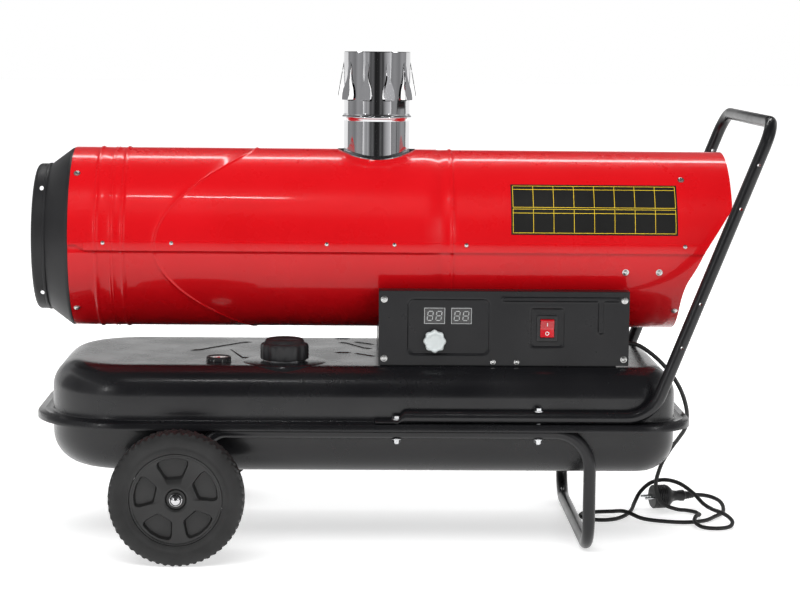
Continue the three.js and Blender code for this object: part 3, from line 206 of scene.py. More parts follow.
# For each moulding its two tones, then its roughness, grain, the grain's scale and clear coat.
MOULDINGS = {
    "rubber": ((0.008, 0.008, 0.008), (0.016, 0.016, 0.016), (0.5, 0.65), 0.15),
    "tyre": ((0.009, 0.009, 0.009), (0.018, 0.018, 0.018), (0.5, 0.7), 0.3, 500.0),
    "black_plastic": ((0.010, 0.010, 0.011), (0.018, 0.018, 0.019), (0.38, 0.5), 0.12),
    "grey_plastic": ((0.44, 0.46, 0.46), (0.52, 0.54, 0.54), (0.35, 0.5), 0.1),
    "white_plastic": ((0.76, 0.76, 0.74), (0.84, 0.84, 0.82), (0.25, 0.35), 0.05),
    "red_plastic": ((0.50, 0.008, 0.015), (0.62, 0.014, 0.022), (0.15, 0.25), 0.02, 900.0, 0.5),
    "wheel_plastic": ((0.010, 0.010, 0.010), (0.016, 0.016, 0.016), (0.3, 0.42), 0.1, 700.0),
    "knob_plastic": ((0.56, 0.60, 0.60), (0.62, 0.66, 0.66), (0.35, 0.45), 0.06),
    "display_glass": ((0.012, 0.011, 0.012), (0.016, 0.015, 0.016), (0.08, 0.14), 0.0, 900.0, 0.4),
    "segment_grey": ((0.34, 0.35, 0.35), (0.42, 0.43, 0.43), (0.4, 0.5), 0.02),
    "ceramic": ((0.72, 0.70, 0.64), (0.82, 0.80, 0.74), (0.2, 0.3), 0.03),
    "circuit": ((0.01, 0.09, 0.03), (0.015, 0.14, 0.05), (0.3, 0.45), 0.1),
}
FINISH = {name: paint(name, *values) for name, values in PAINTS.items()}
FINISH |= {name: metal(name, *values) for name, values in METALS.items()}
FINISH |= {name: moulded(name, *values) for name, values in MOULDINGS.items()}

for subpart in frame["record"]["subparts"]:
    node = nodes[subpart["node"]]
    node.data.materials.clear()
    node.data.materials.append(FINISH[subpart["material_slot"]])


# ---------------------------------------------------------------- mesh helpers
# A shape is a list of points in millimetres and a list of faces.
def rotation(axis, degrees):
    return Matrix.Rotation(radians(degrees), 4, axis)


def shift(x, y, z):
    return Matrix.Translation((x, y, z))


def moved(shape, *steps):
    """The shape after the steps, the first one first."""
    points, faces = shape
    whole = Matrix.Identity(4)
    for step in steps:
        whole = step @ whole
    return [whole @ Vector(p) for p in points], faces


def merged(*shapes):
    points = []
    faces = []
    for more_points, more_faces in shapes:
        start = len(points)
        points += [Vector(p) for p in more_points]
        faces += [[start + i for i in face] for face in more_faces]
    return points, faces


def skin(rows, closed=True, ends=True):
    """Quads between rows of equally many points; closed joins each row's last point to its first."""
    n = len(rows[0])
    points = [p for row in rows for p in row]
    faces = []
    for k in range(len(rows) - 1):
        for i in range(n if closed else n - 1):
            j = (i + 1) % n
            faces.append([k * n + i, k * n + j, (k + 1) * n + j, (k + 1) * n + i])
    if ends:
        faces.append(list(range(n))[::-1])
        faces.append(list(range((len(rows) - 1) * n, len(rows) * n)))
    return points, faces


def lathe(axis, profile, sides=64):
    """A profile of (radius, distance along the axis) turned about the axis; a loop where it closes."""
    loop = profile[0] == profile[-1]
    outline = profile[:-1] if loop else profile
    rows = []
    for radius, along in outline:
        row = []
        for i in range(sides):
            a = tau * i / sides
            across = (max(radius, 0.001) * cos(a), max(radius, 0.001) * sin(a))
            row.append(on_axis(axis, along, *across))
        rows.append(row)
    if loop:
        rows.append(rows[0])
    return skin(rows, ends=not loop)


def on_axis(axis, along, a, b):
    if axis == "x":
        return Vector((along, a, b))
    if axis == "y":
        return Vector((a, along, b))
    return Vector((a, b, along))


def prism(outline, axis, low, high):
    """An outline of pairs in the plane across the axis, made solid from low to high."""
    rows = [[on_axis(axis, along, a, b) for a, b in outline] for along in (low, high)]
    return skin(rows)


def rectangle(x0, x1, z0, z1):
    return [(x0, z0), (x1, z0), (x1, z1), (x0, z1)]


def slab(x, y, z):
    return prism(rectangle(*y, *z), "x", *x)


def cylinder(axis, radius, low, high, sides=32):
    return lathe(axis, [(0, low), (radius, low), (radius, high), (0, high)], sides)


def rounded(x0, x1, z0, z1, r, steps=6):
    """The corners of a rounded rectangle, anticlockwise."""
    centres = [(x1 - r, z1 - r), (x0 + r, z1 - r), (x0 + r, z0 + r), (x1 - r, z0 + r)]
    out = []
    for quarter, (cx, cz) in enumerate(centres):
        for i in range(steps + 1):
            a = radians(90 * (quarter + i / steps))
            out.append((cx + r * cos(a), cz + r * sin(a)))
    return out


def filleted(corners, radii, steps=10):
    """A path of straight runs whose inner corners are rounded."""
    out = [Vector(corners[0])]
    for before, at, after, radius in zip(corners, corners[1:], corners[2:], radii):
        before, at, after = Vector(before), Vector(at), Vector(after)
        back = (before - at).normalized()
        on = (after - at).normalized()
        half = back.angle(on) / 2
        centre = at + (back + on).normalized() * radius / sin(half)
        start = at + back * radius / tan(half) - centre
        axis = start.cross(at + on * radius / tan(half) - centre).normalized()
        for i in range(steps + 1):
            turn = Matrix.Rotation((pi - 2 * half) * i / steps, 3, axis)
            out.append(centre + turn @ start)
    out.append(Vector(corners[-1]))
    return out


def tube(path, radius, sides=20, ends=True):
    """A round tube along points, without twist. The radius may be a number or one per point."""
    path = [Vector(p) for p in path]
    radii = radius if isinstance(radius, list) else [radius] * len(path)
    rows = []
    side = None
    for i, at in enumerate(path):
        before = path[max(i - 1, 0)]
        after = path[min(i + 1, len(path) - 1)]
        ahead = (after - before).normalized()
        if side is None:
            side = ahead.orthogonal().normalized()
        side = (side - ahead * side.dot(ahead)).normalized()
        other = ahead.cross(side)
        turns = [tau * k / sides for k in range(sides)]
        rows.append([at + (side * cos(a) + other * sin(a)) * radii[i] for a in turns])
    return skin(rows, ends=ends)


def mesh_of(name, shape):
    points, faces = shape
    mesh = bpy.data.meshes.new(name)
    mesh.from_pydata([Vector(p) * MM for p in points], [], faces)
    return mesh


def cleaned(mesh):
    """Merges double points and turns every face outwards."""
    made = bmesh.new()
    made.from_mesh(mesh)
    bmesh.ops.remove_doubles(made, verts=made.verts, dist=1e-6)
    bmesh.ops.dissolve_degenerate(made, edges=made.edges, dist=1e-7)
    bmesh.ops.recalc_face_normals(made, faces=made.faces)
    made.to_mesh(mesh)
    made.free()


def smooth(made, sharp):
    made.data.validate()
    cleaned(made.data)
    made.data.shade_smooth()
    made.data.set_sharp_from_angle(angle=radians(sharp))


def piece(name, body, finish, shape, replaces=(), sharp=32):
    """One visible piece from a shape, riding on its body."""
    made = placed(name, mesh_of(name, shape))
    made.data.materials.append(FINISH[finish])
    smooth(made, sharp)
    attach(made, body)
    if replaces:
        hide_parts(*replaces)
    return made


def boolean(made, shape, operation, sharp):
    """Joins a shape to a piece or cuts it out, and keeps the result as the piece's mesh."""
    mesh = mesh_of("tool", shape)
    cleaned(mesh)
    tool = placed("tool", mesh)
    modifier = made.modifiers.new("tool", "BOOLEAN")
    modifier.operation = operation
    modifier.solver = "EXACT"
    modifier.object = tool
    graph = bpy.context.evaluated_depsgraph_get()
    before = made.data
    made.data = bpy.data.meshes.new_from_object(made.evaluated_get(graph))
    made.modifiers.clear()
    smooth(made, sharp)
    bpy.data.objects.remove(tool)
    for old in (before, mesh):
        bpy.data.meshes.remove(old)


def carve(made, *tools, sharp=32):
    """Cuts the tools' shapes out of a piece."""
    boolean(made, merged(*tools), "DIFFERENCE", sharp)


def combine(made, shape):
    """Adds a shape to a piece, as one closed mesh."""
    boolean(made, shape, "UNION", 32)


# ---------------------------------------------------------------- mains cord and plug
CORD_RADIUS = 3.25
CORD_EXIT = (352.6, -90, 306)
CORD_ROUTE = [
    CORD_EXIT,
    (370, -90, 303.4),
    (393, -89, 289),
    (419, -85, 264),
    (441, -74, 232),
    (455, -54, 195),
    (459, -20, 163),
    (456, 26, 137),
    (448, 66, 110),
    (437, 91, 78),
    (431, 98.5, 43),
    (440.5, 98.5, 16),
    (466, 97.5, 5),
    (482, 93.5, 4),
    (493, 82, 4),
    (497, 65, 4.4),
    (494, 38, 8.5),
    (484, 11, 11.5),
    (479, -12, 8),
    (487.5, -33.5, 4.4),
    (509, -42.5, 4),
    (530.5, -33.5, 4.6),
    (539.5, -12, 7.5),
    (537, 16, 10.5),
    (530, 43, 11.5),
    (520, 70, 11),
    (509, 93, 15.5),
    (494, 111, 30),
    (473, 125, 43),
    (450, 135.5, 46.5),
    (429, 143, 40),
    (412, 143, 25),
    (401.5, 131, 10.5),
    (394, 107, 4.2),
    (384, 73, 4),
    (370.5, 43.5, 4),
    (354.5, 24, 4),
    (333, 16.5, 4),
    (311, 25.5, 4),
    (302, 48, 4),
    (311, 70.5, 4),
    (333, 79, 4),
    (355, 71, 6.5),
    (374, 48, 11.5),
    (400, 25, 5),
    (434, 8, 4),
    (470, 2, 4),
    (500, 16, 4),
    (521, 47, 4),
    (538, 76, 4.2),
    (543, 96, 6.6),
    (543.5, 117.5, 10.8),
    (539, 132.6, 14),
    (527.4, 142.1, 17.4),
    (512.3, 143.7, 19.5),
    (501.1, 141, 20.4),
]


def through(points, steps=10):
    """A centripetal Catmull-Rom curve through the points."""
    points = [Vector(p) for p in points]
    ends = [points[0] * 2 - points[1], *points, points[-1] * 2 - points[-2]]
    out = []
    for a, b, c, d in zip(ends, ends[1:], ends[2:], ends[3:]):
        t = [0.0]
        for p, q in ((a, b), (b, c), (c, d)):
            t.append(t[-1] + sqrt((q - p).length))
        for i in range(steps):
            at = t[1] + (t[2] - t[1]) * i / steps
            ab = a.lerp(b, (at - t[0]) / (t[1] - t[0]))
            bc = b.lerp(c, (at - t[1]) / (t[2] - t[1]))
            cd = c.lerp(d, (at - t[2]) / (t[3] - t[2]))
            abc = ab.lerp(bc, (at - t[0]) / (t[2] - t[0]))
            bcd = bc.lerp(cd, (at - t[1]) / (t[3] - t[1]))
            out.append(abc.lerp(bcd, (at - t[1]) / (t[2] - t[1])))
    return [*out, points[-1]]


def make_cord():
    data = bpy.data.curves.new("mains_cord", "CURVE")
    data.dimensions = "3D"
    data.bevel_depth = CORD_RADIUS * MM
    data.bevel_resolution = 5
    data.use_fill_caps = True
    spline = data.splines.new("POLY")
    line = through(CORD_ROUTE)
    spline.points.add(len(line) - 1)
    for point, at in zip(spline.points, line):
        point.co = (*(at * MM), 1)
    spline.use_smooth = True
    data.materials.append(FINISH["rubber"])
    cord = placed("mains_cord", data)
    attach(cord, "heater")
    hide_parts("power_cord")
    return cord


cord = make_cord()

PLUG = {"middle": 449, "y": 128, "front": 428, "radius": 19.4, "turn": 14, "relief": 74, "pin_gap": 19}


def plug_shape():
    """A moulded plug with a ribbed grip, a waist and a slotted strain relief."""
    front = PLUG["front"]
    radius = PLUG["radius"]
    grip = [(0, front), (radius - 1.5, front), (radius, front + 1.5)]
    for k in range(5):
        at = front + 7 + 3.2 * k
        grip += [(radius, at - 1.2), (radius - 1, at - 0.5), (radius - 1, at + 0.5), (radius, at + 1.2)]
    tail = [
        (radius, front + 23),
        (radius - 1.6, front + 27),
        (radius - 5, front + 31),
        (10.5, front + 34.5),
        (9, front + 37),
        (8.2, front + 44),
        (9.3, front + 50),
        (9.3, front + 55),
        (7.2, front + 57),
    ]
    for k in range(4):
        r = 6.6 - 0.5 * k
        at = front + 59 + 3.8 * k
        tail += [(r, at), (r, at + 2.2), (r - 1, at + 2.6), (r - 1, at + 3.5)]
    tail += [(CORD_RADIUS + 0.8, front + PLUG["relief"]), (0, front + PLUG["relief"])]
    pin = [(0, front - 16), (1.7, front - 16), (2.4, front - 14.5), (2.4, front + 2), (0, front + 2)]
    pins = [moved(lathe("x", pin, 24), shift(0, side * PLUG["pin_gap"] / 2, 0)) for side in (-1, 1)]
    middle = PLUG["middle"]
    turn = [shift(-middle, 0, 0), rotation("Z", PLUG["turn"]), shift(middle, PLUG["y"], radius + 1)]
    return moved(lathe("x", grip + tail, 48), *turn), moved(merged(*pins), *turn)


plug_body, plug_pins = plug_shape()
plug = piece("mains_plug", "heater", "black_plastic", plug_body, ["power_plug"])
pins = piece("mains_plug_pins", "heater", "zinc", plug_pins)


# ---------------------------------------------------------------- sheet helpers
def shell(outer, inner, closed=False):
    """A closed sheet between two equal grids of points; closed joins each row's ends."""
    rows = len(outer)
    n = len(outer[0])
    points = [p for row in outer for p in row] + [p for row in inner for p in row]
    faces = []

    def corner(layer, k, i):
        return (layer * rows + k) * n + i % n

    last = n if closed else n - 1
    for k in range(rows - 1):
        for i in range(last):
            for layer in (0, 1):
                ring = [corner(layer, k, i), corner(layer, k, i + 1)]
                ring += [corner(layer, k + 1, i + 1), corner(layer, k + 1, i)]
                faces.append(ring if layer == 0 else ring[::-1])
    for i in range(last):
        for k in (0, rows - 1):
            faces.append([corner(0, k, i), corner(0, k, i + 1), corner(1, k, i + 1), corner(1, k, i)])
    if not closed:
        for k in range(rows - 1):
            for i in (0, n - 1):
                faces.append([corner(0, k, i), corner(0, k + 1, i), corner(1, k + 1, i), corner(1, k, i)])
    return points, faces


def hump(distance, width, height):
    """The height of a pressed bead at a distance from its middle line."""
    if abs(distance) >= width / 2:
        return 0.0
    return height * cos(pi * distance / width) ** 2


def steps_between(start, end, count):
    """Count steps on the way from start to end, without the last one."""
    return [start + (end - start) * k / count for k in range(count)]


def bend(a, b, c, steps=6):
    """Points on a quadratic curve."""
    out = []
    for k in range(steps + 1):
        t = k / steps
        out.append(tuple(p * (1 - t) ** 2 + 2 * q * t * (1 - t) + r * t * t for p, q, r in zip(a, b, c)))
    return out


def arc(cx, cz, radius, start, end, steps=8):
    """Points on a circle, from one angle in degrees to another."""
    angles = [radians(start + (end - start) * k / steps) for k in range(steps + 1)]
    return [(cx + radius * cos(a), cz + radius * sin(a)) for a in angles]


# ---------------------------------------------------------------- casing
AXIS_Z = 458
SHEET = 1.5
HOOD_RADIUS = 139.3
SHELL_RADIUS = 137.5
FLUE_X = -34.4
FLUE_RADIUS = 51.9
FLUE_HOLE = 52.5
HOSE_HOLE = {"x": 175, "radius": 12}
CASING_FRONT = -501.7
RING_BEADS = (-459.7, -419.2, 79.6)
FINE_RIDGES = (-438.6, -434.4)
SEAM = 59.9
REAR_EDGE = [
    (506, 140),
    *bend((506, 66), (506, 56), (499.4, 50)),
    *bend((465, -4), (456, -26), (445.6, -44)),
    *bend((445.6, -44), (433.6, -62), (432.6, -95)),
    (432.6, -140),
]


def about_axis(shape):
    return moved(shape, shift(0, 0, AXIS_Z))


def on_casing(x, radius, degrees):
    """A point round the casing's axis: 0 degrees faces the panel's side, and 90 is on top."""
    a = radians(degrees)
    return Vector((x, -radius * cos(a), AXIS_Z + radius * sin(a)))


def rear_edge(height):
    for (x0, z0), (x1, z1) in zip(REAR_EDGE, REAR_EDGE[1:]):
        if z1 <= height <= z0:
            return x0 + (x1 - x0) * (z0 - height) / (z0 - z1)
    return REAR_EDGE[-1][0]


def swept_bead(degrees):
    """The long bead that runs slantwise over the casing."""
    return -372.5 + 152 * sin(radians(degrees)) ** 2


def across(x, width, steps=6):
    return [x + width * (k / steps - 0.5) for k in range(steps + 1)]


def casing_stations(radius, degrees):
    """Where the grid's points lie along the casing, close together at each bead."""
    swept = swept_bead(degrees)
    rear = rear_edge(radius * sin(radians(degrees)))
    out = [CASING_FRONT, -496, -489.7, -483, -478, -477.4, -470]
    out += across(RING_BEADS[0], 9)
    for x in FINE_RIDGES:
        out += across(x, 3.4, 4)
    out += across(RING_BEADS[1], 9)
    out += steps_between(RING_BEADS[1] + 7, swept - 4, 8)
    out += across(swept, 7.5)
    out += steps_between(swept + 6, SEAM - 0.6, 16)
    out += [SEAM - 0.5, SEAM + 0.5]
    out += across(RING_BEADS[2], 9)
    out += steps_between(RING_BEADS[2] + 9, rear - 1.5, 20)
    return [*out, rear - 1.5, rear - 0.4, rear]


def pressing(x, degrees):
    """The height of the beads, the fine ridges and the seam over the plain casing."""
    height = sum(hump(x - bead, 9, 1.8) for bead in RING_BEADS)
    height += sum(hump(x - ridge, 3.4, 0.7) for ridge in FINE_RIDGES)
    height += hump(x - swept_bead(degrees), 7.5, 1.3)
    return height + (0.7 if x < SEAM else 0)


def hood_angles(x):
    """The grid's angles on the hood: its lower edge rises at the front."""
    slope = min(max((x + 489.7) / 13, 0), 1)
    low = -0.2 - slope * (3.57 - 0.2)
    near = [*steps_between(low, 1.9, 3), 1.9, 2.2, 2.5, 3.6, 5]
    near += [7.5 + 2.5 * k for k in range(34)]
    return near + [180 - a for a in reversed(near[:-1])]


def hood_shape():
    outer = []
    inner = []
    for row, nominal in enumerate(hood_angles(0)):
        outer_row = []
        inner_row = []
        for x in casing_stations(HOOD_RADIUS, nominal):
            angle = hood_angles(x)[row]
            from_edge = min(angle, 180 - angle)
            lip = 1.2 if from_edge < 2 and x > -477.7 else 0
            radius = HOOD_RADIUS + pressing(x, angle) + lip
            outer_row.append(on_casing(x, radius, angle))
            inner_row.append(on_casing(x, radius - SHEET, angle))
        outer.append(outer_row)
        inner.append(inner_row)
    return shell(outer, inner)


def lower_casing_shape():
    near = [1.6, -2, -3.9, -4.6, -5.4, -6.4] + [-7.5 - 2.5 * k for k in range(34)]
    outer = []
    inner = []
    for angle in near + [-180 - a for a in reversed(near[:-1])]:
        from_edge = max(angle, -180 - angle)
        fade = min(max((-3.9 - from_edge) / 1.6, 0), 1)
        stations = casing_stations(SHELL_RADIUS, angle)
        radii = [SHELL_RADIUS + fade * pressing(x, angle) for x in stations]
        outer.append([on_casing(x, r, angle) for x, r in zip(stations, radii)])
        inner.append([on_casing(x, r - SHEET, angle) for x, r in zip(stations, radii)])
    return shell(outer, inner)


hood = piece("casing_hood", "heater", "red_paint", hood_shape(), ["casing_upper_shell"], 45)
flue_hole = cylinder("z", FLUE_HOLE, 50, 200, 96)
carve(hood, moved(flue_hole, shift(FLUE_X, 0, AXIS_Z)), sharp=45)
belly = piece("casing_belly", "heater", "red_paint", lower_casing_shape(), ["casing_lower_shell"], 45)
hose_hole = cylinder("z", HOSE_HOLE["radius"], -200, -50, 32)
carve(belly, moved(hose_hole, shift(HOSE_HOLE["x"], 0, AXIS_Z)), sharp=45)


# ---------------------------------------------------------------- outlet
def outlet_shape():
    outside = [(104.4, -559.6), (105.2, -560.3), (107, -560.6)]
    outside += [(r, x) for x, r in arc(-554.6, 107.4, 6, 180, 90)]
    outside += [(113.4, -544.2), (114.3, -543.2), (114.6, -541.6), (114.3, -540), (113.4, -539)]
    outside += [(114.2, -537.6), (116.6, -535.2), (137.4, -507.4), (138.5, -505.2), (138.5, -502)]
    outside += [(135.7, -502), (135.7, -482)]
    inside = [(134.2, -482), (134.2, -503.6), (112.4, -536.6), (111.7, -539), (111.7, -554.6)]
    inside += [(110.6, -557.6), (107.6, -559), (104.4, -559), (104.4, -559.6)]
    return about_axis(lathe("x", outside + inside, 128))


outlet = piece(
    "outlet_flange", "heater", "outlet_paint", outlet_shape(), ["outlet_cone"], 30
)
duct_hole = cylinder("y", 3.2, -200, 200, 24)
carve(outlet, *(moved(duct_hole, shift(-546.8, 0, AXIS_Z + z)) for z in (-80.2, 80.2)), sharp=30)


# ---------------------------------------------------------------- flue
FLUE_TOP = 749.3
TABS = 10
TAB_LEAN = 10
WINDOW_LOW = 674
WINDOW_HALF = [
    (0, 7.6),
    (4, 8.4),
    (8, 8.5),
    (16, 7.8),
    (21, 6.4),
    (25, 5),
    (29, 3.8),
    (33, 3),
    (39, 2.4),
    (46, 3.2),
    (52, 3.4),
    (57, 2),
    (61, 0.6),
]


def window_outline(shrink=0.0):
    right = [(half - shrink, WINDOW_LOW + up) for up, half in WINDOW_HALF]
    return right + [(-x, z) for x, z in reversed(right)]


def cowl_shape():
    """The cowl's sheet with its bead. The rings close to the bead and the rim keep the walls flat."""
    r = FLUE_RADIUS
    wall = [(r, 538), (r, 642.6), (r, 643.4), (r + 0.7, 644.6), *arc(r + 0.4, 648.6, 2.6, -75, 75)]
    wall += [(r + 0.7, 652.6), (r, 653.8), (r, 654.6), (r, FLUE_TOP - 1), (r, FLUE_TOP - 0.3)]
    wall += [(r - 0.5, FLUE_TOP), (r - 1, FLUE_TOP - 0.3), (r - 1, 652), (r + 1, 650), (r + 1, 647.2)]
    wall += [(r - 1, 645), (r - 1, 538), (r, 538)]
    return moved(lathe("z", wall, 120), shift(FLUE_X, 0, 0))


def tab_shape():
    """One punched tab, hinged at its top and bent out at its foot."""
    hinge = WINDOW_LOW + WINDOW_HALF[-1][0]
    plate = prism(window_outline(0.35), "y", -FLUE_RADIUS, 1 - FLUE_RADIUS)
    back = shift(0, 0.3 - FLUE_RADIUS, hinge + 0.6)
    return moved(plate, shift(0, FLUE_RADIUS, -hinge), rotation("X", -TAB_LEAN), back)


def round_flue(shape):
    """The shape once for each tab, turned about the flue."""
    turns = [rotation("Z", 360 / TABS * (k + 0.5)) for k in range(TABS)]
    return [moved(shape, turn, shift(FLUE_X, 0, 0)) for turn in turns]


cowl = piece("flue_cowl_sheet", "heater", "chrome", cowl_shape(), ["flue_cowl"], 40)
window = prism(window_outline(), "y", -FLUE_RADIUS - 9, 9 - FLUE_RADIUS)
carve(cowl, *round_flue(window), sharp=40)
carve(cowl, about_axis(cylinder("x", 141.8, -130, 60, 160)), sharp=40)
piece("flue_cowl_tabs", "heater", "chrome", merged(*round_flue(tab_shape())))


def collar_shape():
    """The saddle-shaped collar round the flue's foot."""
    layers = []
    for radius in (141.4, 139.75):
        rows = []
        for k in range(97):
            a = tau * (k % 96) / 96
            row = []
            for reach in (52.1, 56, 60.4, 61):
                y = reach * sin(a)
                row.append(Vector((FLUE_X + reach * cos(a), y, AXIS_Z + sqrt(radius**2 - y**2))))
            rows.append(row)
        layers.append(rows)
    return shell(*layers)


piece("flue_saddle", "heater", "chrome", collar_shape(), ["flue_collar"], 40)
pipe = lathe("z", [(49.6, 572), (50.6, 572), (50.6, 662), (49.6, 662), (49.6, 572)], 96)
pipe = moved(pipe, shift(FLUE_X, 0, 0))
piece("flue_inner_pipe", "heater", "chrome", pipe, ["flue_pipe"])


# ---------------------------------------------------------------- tank
TANK_LEFT = -531.4
TANK_RIGHT = 421.6
TANK_HALF = 198
TANK_TOP = 278
TANK_BOTTOM = 117
SHOULDER = 43
BILGE = 50
FLANGE_TOP = 199
FLANGE = 24
CORNERS = (61, 126)
BOSS = {"x": -174.4, "y": -110, "radius": 66, "top": 279.2, "foot": 232}


def tank_ring(inset, z):
    """The tank's plan outline, drawn in by inset, at a height."""
    small, large = CORNERS
    corners = [
        (TANK_RIGHT - small, TANK_HALF - small, small, 0),
        (TANK_LEFT + large, TANK_HALF - large, large, 90),
        (TANK_LEFT + large, large - TANK_HALF, large, 180),
        (TANK_RIGHT - small, small - TANK_HALF, small, 270),
    ]
    out = []
    for x, y, radius, start in corners:
        for k in range(17):
            a = radians(start + 90 * k / 16)
            out.append(Vector((x + (radius - inset) * cos(a), y + (radius - inset) * sin(a), z)))
    return out


def dome(crown, shoulder, base, skin_in):
    """Pairs of inset and height, from the wall's foot to the flat crown."""
    way = 1 if crown > base else -1
    out = [(skin_in, base)]
    for k in range(11):
        a = radians(90 * k / 10)
        depth = shoulder - (shoulder - skin_in) * sin(a)
        out.append((skin_in + (shoulder - skin_in) * (1 - cos(a)), crown - way * depth))
    out.append((58, crown - way * skin_in))
    return out


def tank_upper_shape():
    rim = [(-FLANGE, 188.5), (-FLANGE, 196), (1.2 - FLANGE, 198.2), (3 - FLANGE, FLANGE_TOP)]
    line = [(-14.4, 199), (-13.4, 199.5), (-12.4, 199.8), (-11.4, 199.5), (-10.4, 199)]
    foot = [(-3, 199), (-1.6, 199.5), (-0.6, 200.8), (0, 203)]
    profile = rim + line + foot + dome(TANK_TOP, SHOULDER, 210, 0)
    return skin([tank_ring(*pair) for pair in profile])


def tank_upper_hollow():
    under = [(1.5 - FLANGE, 187), (1.5 - FLANGE, 195.6), (3.6 - FLANGE, 197.5), (-1.6, 197.5)]
    under += [(0.3, 198.4), (1.5, 201)]
    return skin([tank_ring(*pair) for pair in under + dome(TANK_TOP, SHOULDER, 205, SHEET)])


def boss_shape(inward):
    """The raised round seat of the filler, standing out of the tank's shoulder."""
    r = BOSS["radius"] - inward
    top = BOSS["top"] - inward
    profile = [(0, BOSS["foot"]), (r + 15, BOSS["foot"]), (r + 1.6, top - 7.2), (r, top - 3.6)]
    profile += [(r - 2, top - 1), (r - 5, top), (0, top)]
    return moved(lathe("z", profile, 96), shift(BOSS["x"], BOSS["y"], 0))


def hole(x, y, radius, low, high):
    return moved(cylinder("z", radius, low, high, 48), shift(x, y, 0))


def pressed_line(path, width=5.5, height=1.1):
    """A raised line on the tank's top, through points in the plane."""
    path = [Vector((x, y, TANK_TOP)) for x, y in path]
    rows = []
    for k, at in enumerate(path):
        ahead = (path[min(k + 1, len(path) - 1)] - path[max(k - 1, 0)]).normalized()
        side = Vector((-ahead.y, ahead.x, 0))
        tall = height if 0 < k < len(path) - 1 else 0.15
        row = []
        for t in (-0.5, -0.3, -0.15, 0, 0.15, 0.3, 0.5):
            row.append(at + side * width * t + Vector((0, 0, tall * cos(pi * t) ** 2)))
        row += [at + side * width * t - Vector((0, 0, 0.6)) for t in (0.5, -0.5)]
        rows.append(row)
    return skin(rows)


TANK_LINES = [
    [(-326, 2), (-320, 3), (-311, 7), (-285, 44), (-247, 94), (-240, 98), (-232, 100)],
    [(-263, 12), (-260, 9), (-240, -75), (-232, -78), (-226, -79)],
    [(-92, 100), (-85, 98), (-78, 93), (-52, 40), (-44, 33), (-38, 31)],
    [(-98, -15), (-92, -15), (-78, -15), (-72, -15)],
    [(-98, 147), (-92, 147), (-78, 147), (-72, 147)],
    [(-66, 107), (-62, 104), (-40, 84), (-34, 80)],
    [(-66, -23), (-62, -26), (-40, -50), (-34, -53)],
]
GAUGE = (-275, -110)
tank_top = piece(
    "tank_top_half",
    "heater",
    "tank_paint",
    tank_upper_shape(),
    ["tank_upper_shell"],
)
combine(tank_top, boss_shape(0))
carve(tank_top, tank_upper_hollow())
carve(tank_top, boss_shape(SHEET))
top_holes = [(BOSS["x"], BOSS["y"], 23.3), (*GAUGE, 9.3), (45, 70, 4.3)]
carve(tank_top, *(hole(*place, 250, 290) for place in top_holes))
lines = merged(*(pressed_line(path) for path in TANK_LINES))
piece("tank_pressed_lines", "heater", "tank_paint", lines)


def tank_lower_shape():
    rim = [(1.8 - FLANGE, 197.2), (1.8 - FLANGE, 195.7), (-2.6, 195.7), (-0.8, 195), (0, 193.2)]
    return skin([tank_ring(*pair) for pair in rim + dome(TANK_BOTTOM, BILGE, 180, 0)])


def tank_lower_hollow():
    return skin([tank_ring(*pair) for pair in [(1.5, 199)] + dome(TANK_BOTTOM, BILGE, 180, SHEET)])


tank_belly = piece(
    "tank_bottom_half",
    "heater",
    "tank_paint",
    tank_lower_shape(),
    ["tank_lower_shell"],
)
carve(tank_belly, tank_lower_hollow())
carve(tank_belly, hole(330, 0, 8.3, 110, 125))


# ---------------------------------------------------------------- handle and stand
TUBE = 9.5
FRAME_Y = 210
HANDLE_Z = 208.8
HANDLE_FRONT = -36.4
HANDLE_TOP = (550.3, 652)
HANDLE_ELBOW = 376.6
STAND_Z = 185.9
ARM_HOLES = [(420.4, 316.2), (446.3, 382), (502.6, 524.4), (527.6, 589.5)]
BOLTS = (-4.4, 208.1)


def mirrored(path):
    return path + [(x, -y, z) for x, y, z in reversed(path)]


def handle_shape():
    """The handle's tube, whose two front ends are pressed flat where they are bolted down."""
    front = (HANDLE_FRONT, -FRAME_Y, HANDLE_Z)
    elbow = (HANDLE_ELBOW, -FRAME_Y, HANDLE_Z)
    top = (HANDLE_TOP[0], -FRAME_Y, HANDLE_TOP[1])
    path = filleted(mirrored([front, elbow, top]), [55, 38, 38, 55], 14)
    flat = [Vector((x, -FRAME_Y, HANDLE_Z)) for x in (HANDLE_FRONT, -34, -18, -8, -2, 3, 8)]
    path = flat + path[1:-1] + [Vector((p.x, -p.y, p.z)) for p in reversed(flat)]
    points, faces = tube(path, TUBE - 0.05, 24)
    out = []
    for p in points:
        share = min(max((p.x + 4) / 11, 0), 1)
        share = share * share * (3 - 2 * share)
        side = FRAME_Y if p.y > 0 else -FRAME_Y
        tall = 0.32 + 0.68 * share
        wide = 1.22 - 0.22 * share
        low = HANDLE_Z - TUBE
        z = low + (p.z - low) * tall if p.x < 60 else p.z
        y = side + (p.y - side) * wide if p.x < 60 else p.y
        out.append(Vector((p.x, y, z)))
    return out, faces


def cross_pins(places, radius, y0, y1):
    pin = cylinder("y", radius, y0, y1, 20)
    return [moved(pin, shift(x, 0, z)) for x, z in places]


handle = piece("handle_tube", "heater", "tube_paint", handle_shape(), ["handle_frame"], 30)
carve(handle, *cross_pins(ARM_HOLES, 2.6, -225, -195), *cross_pins(ARM_HOLES, 2.6, 195, 225), sharp=30)
WHEEL_X = -327.8
WHEEL_Z = 100


def stand_shape():
    corners = mirrored(
        [
            (WHEEL_X, -FRAME_Y, WHEEL_Z),
            (WHEEL_X + 52, -FRAME_Y, STAND_Z),
            (286.5, -FRAME_Y, STAND_Z),
            (286.5, -FRAME_Y, TUBE),
        ]
    )
    return tube(filleted(corners, [30, 55, 47, 47, 55, 30], 14), TUBE - 0.05, 24)


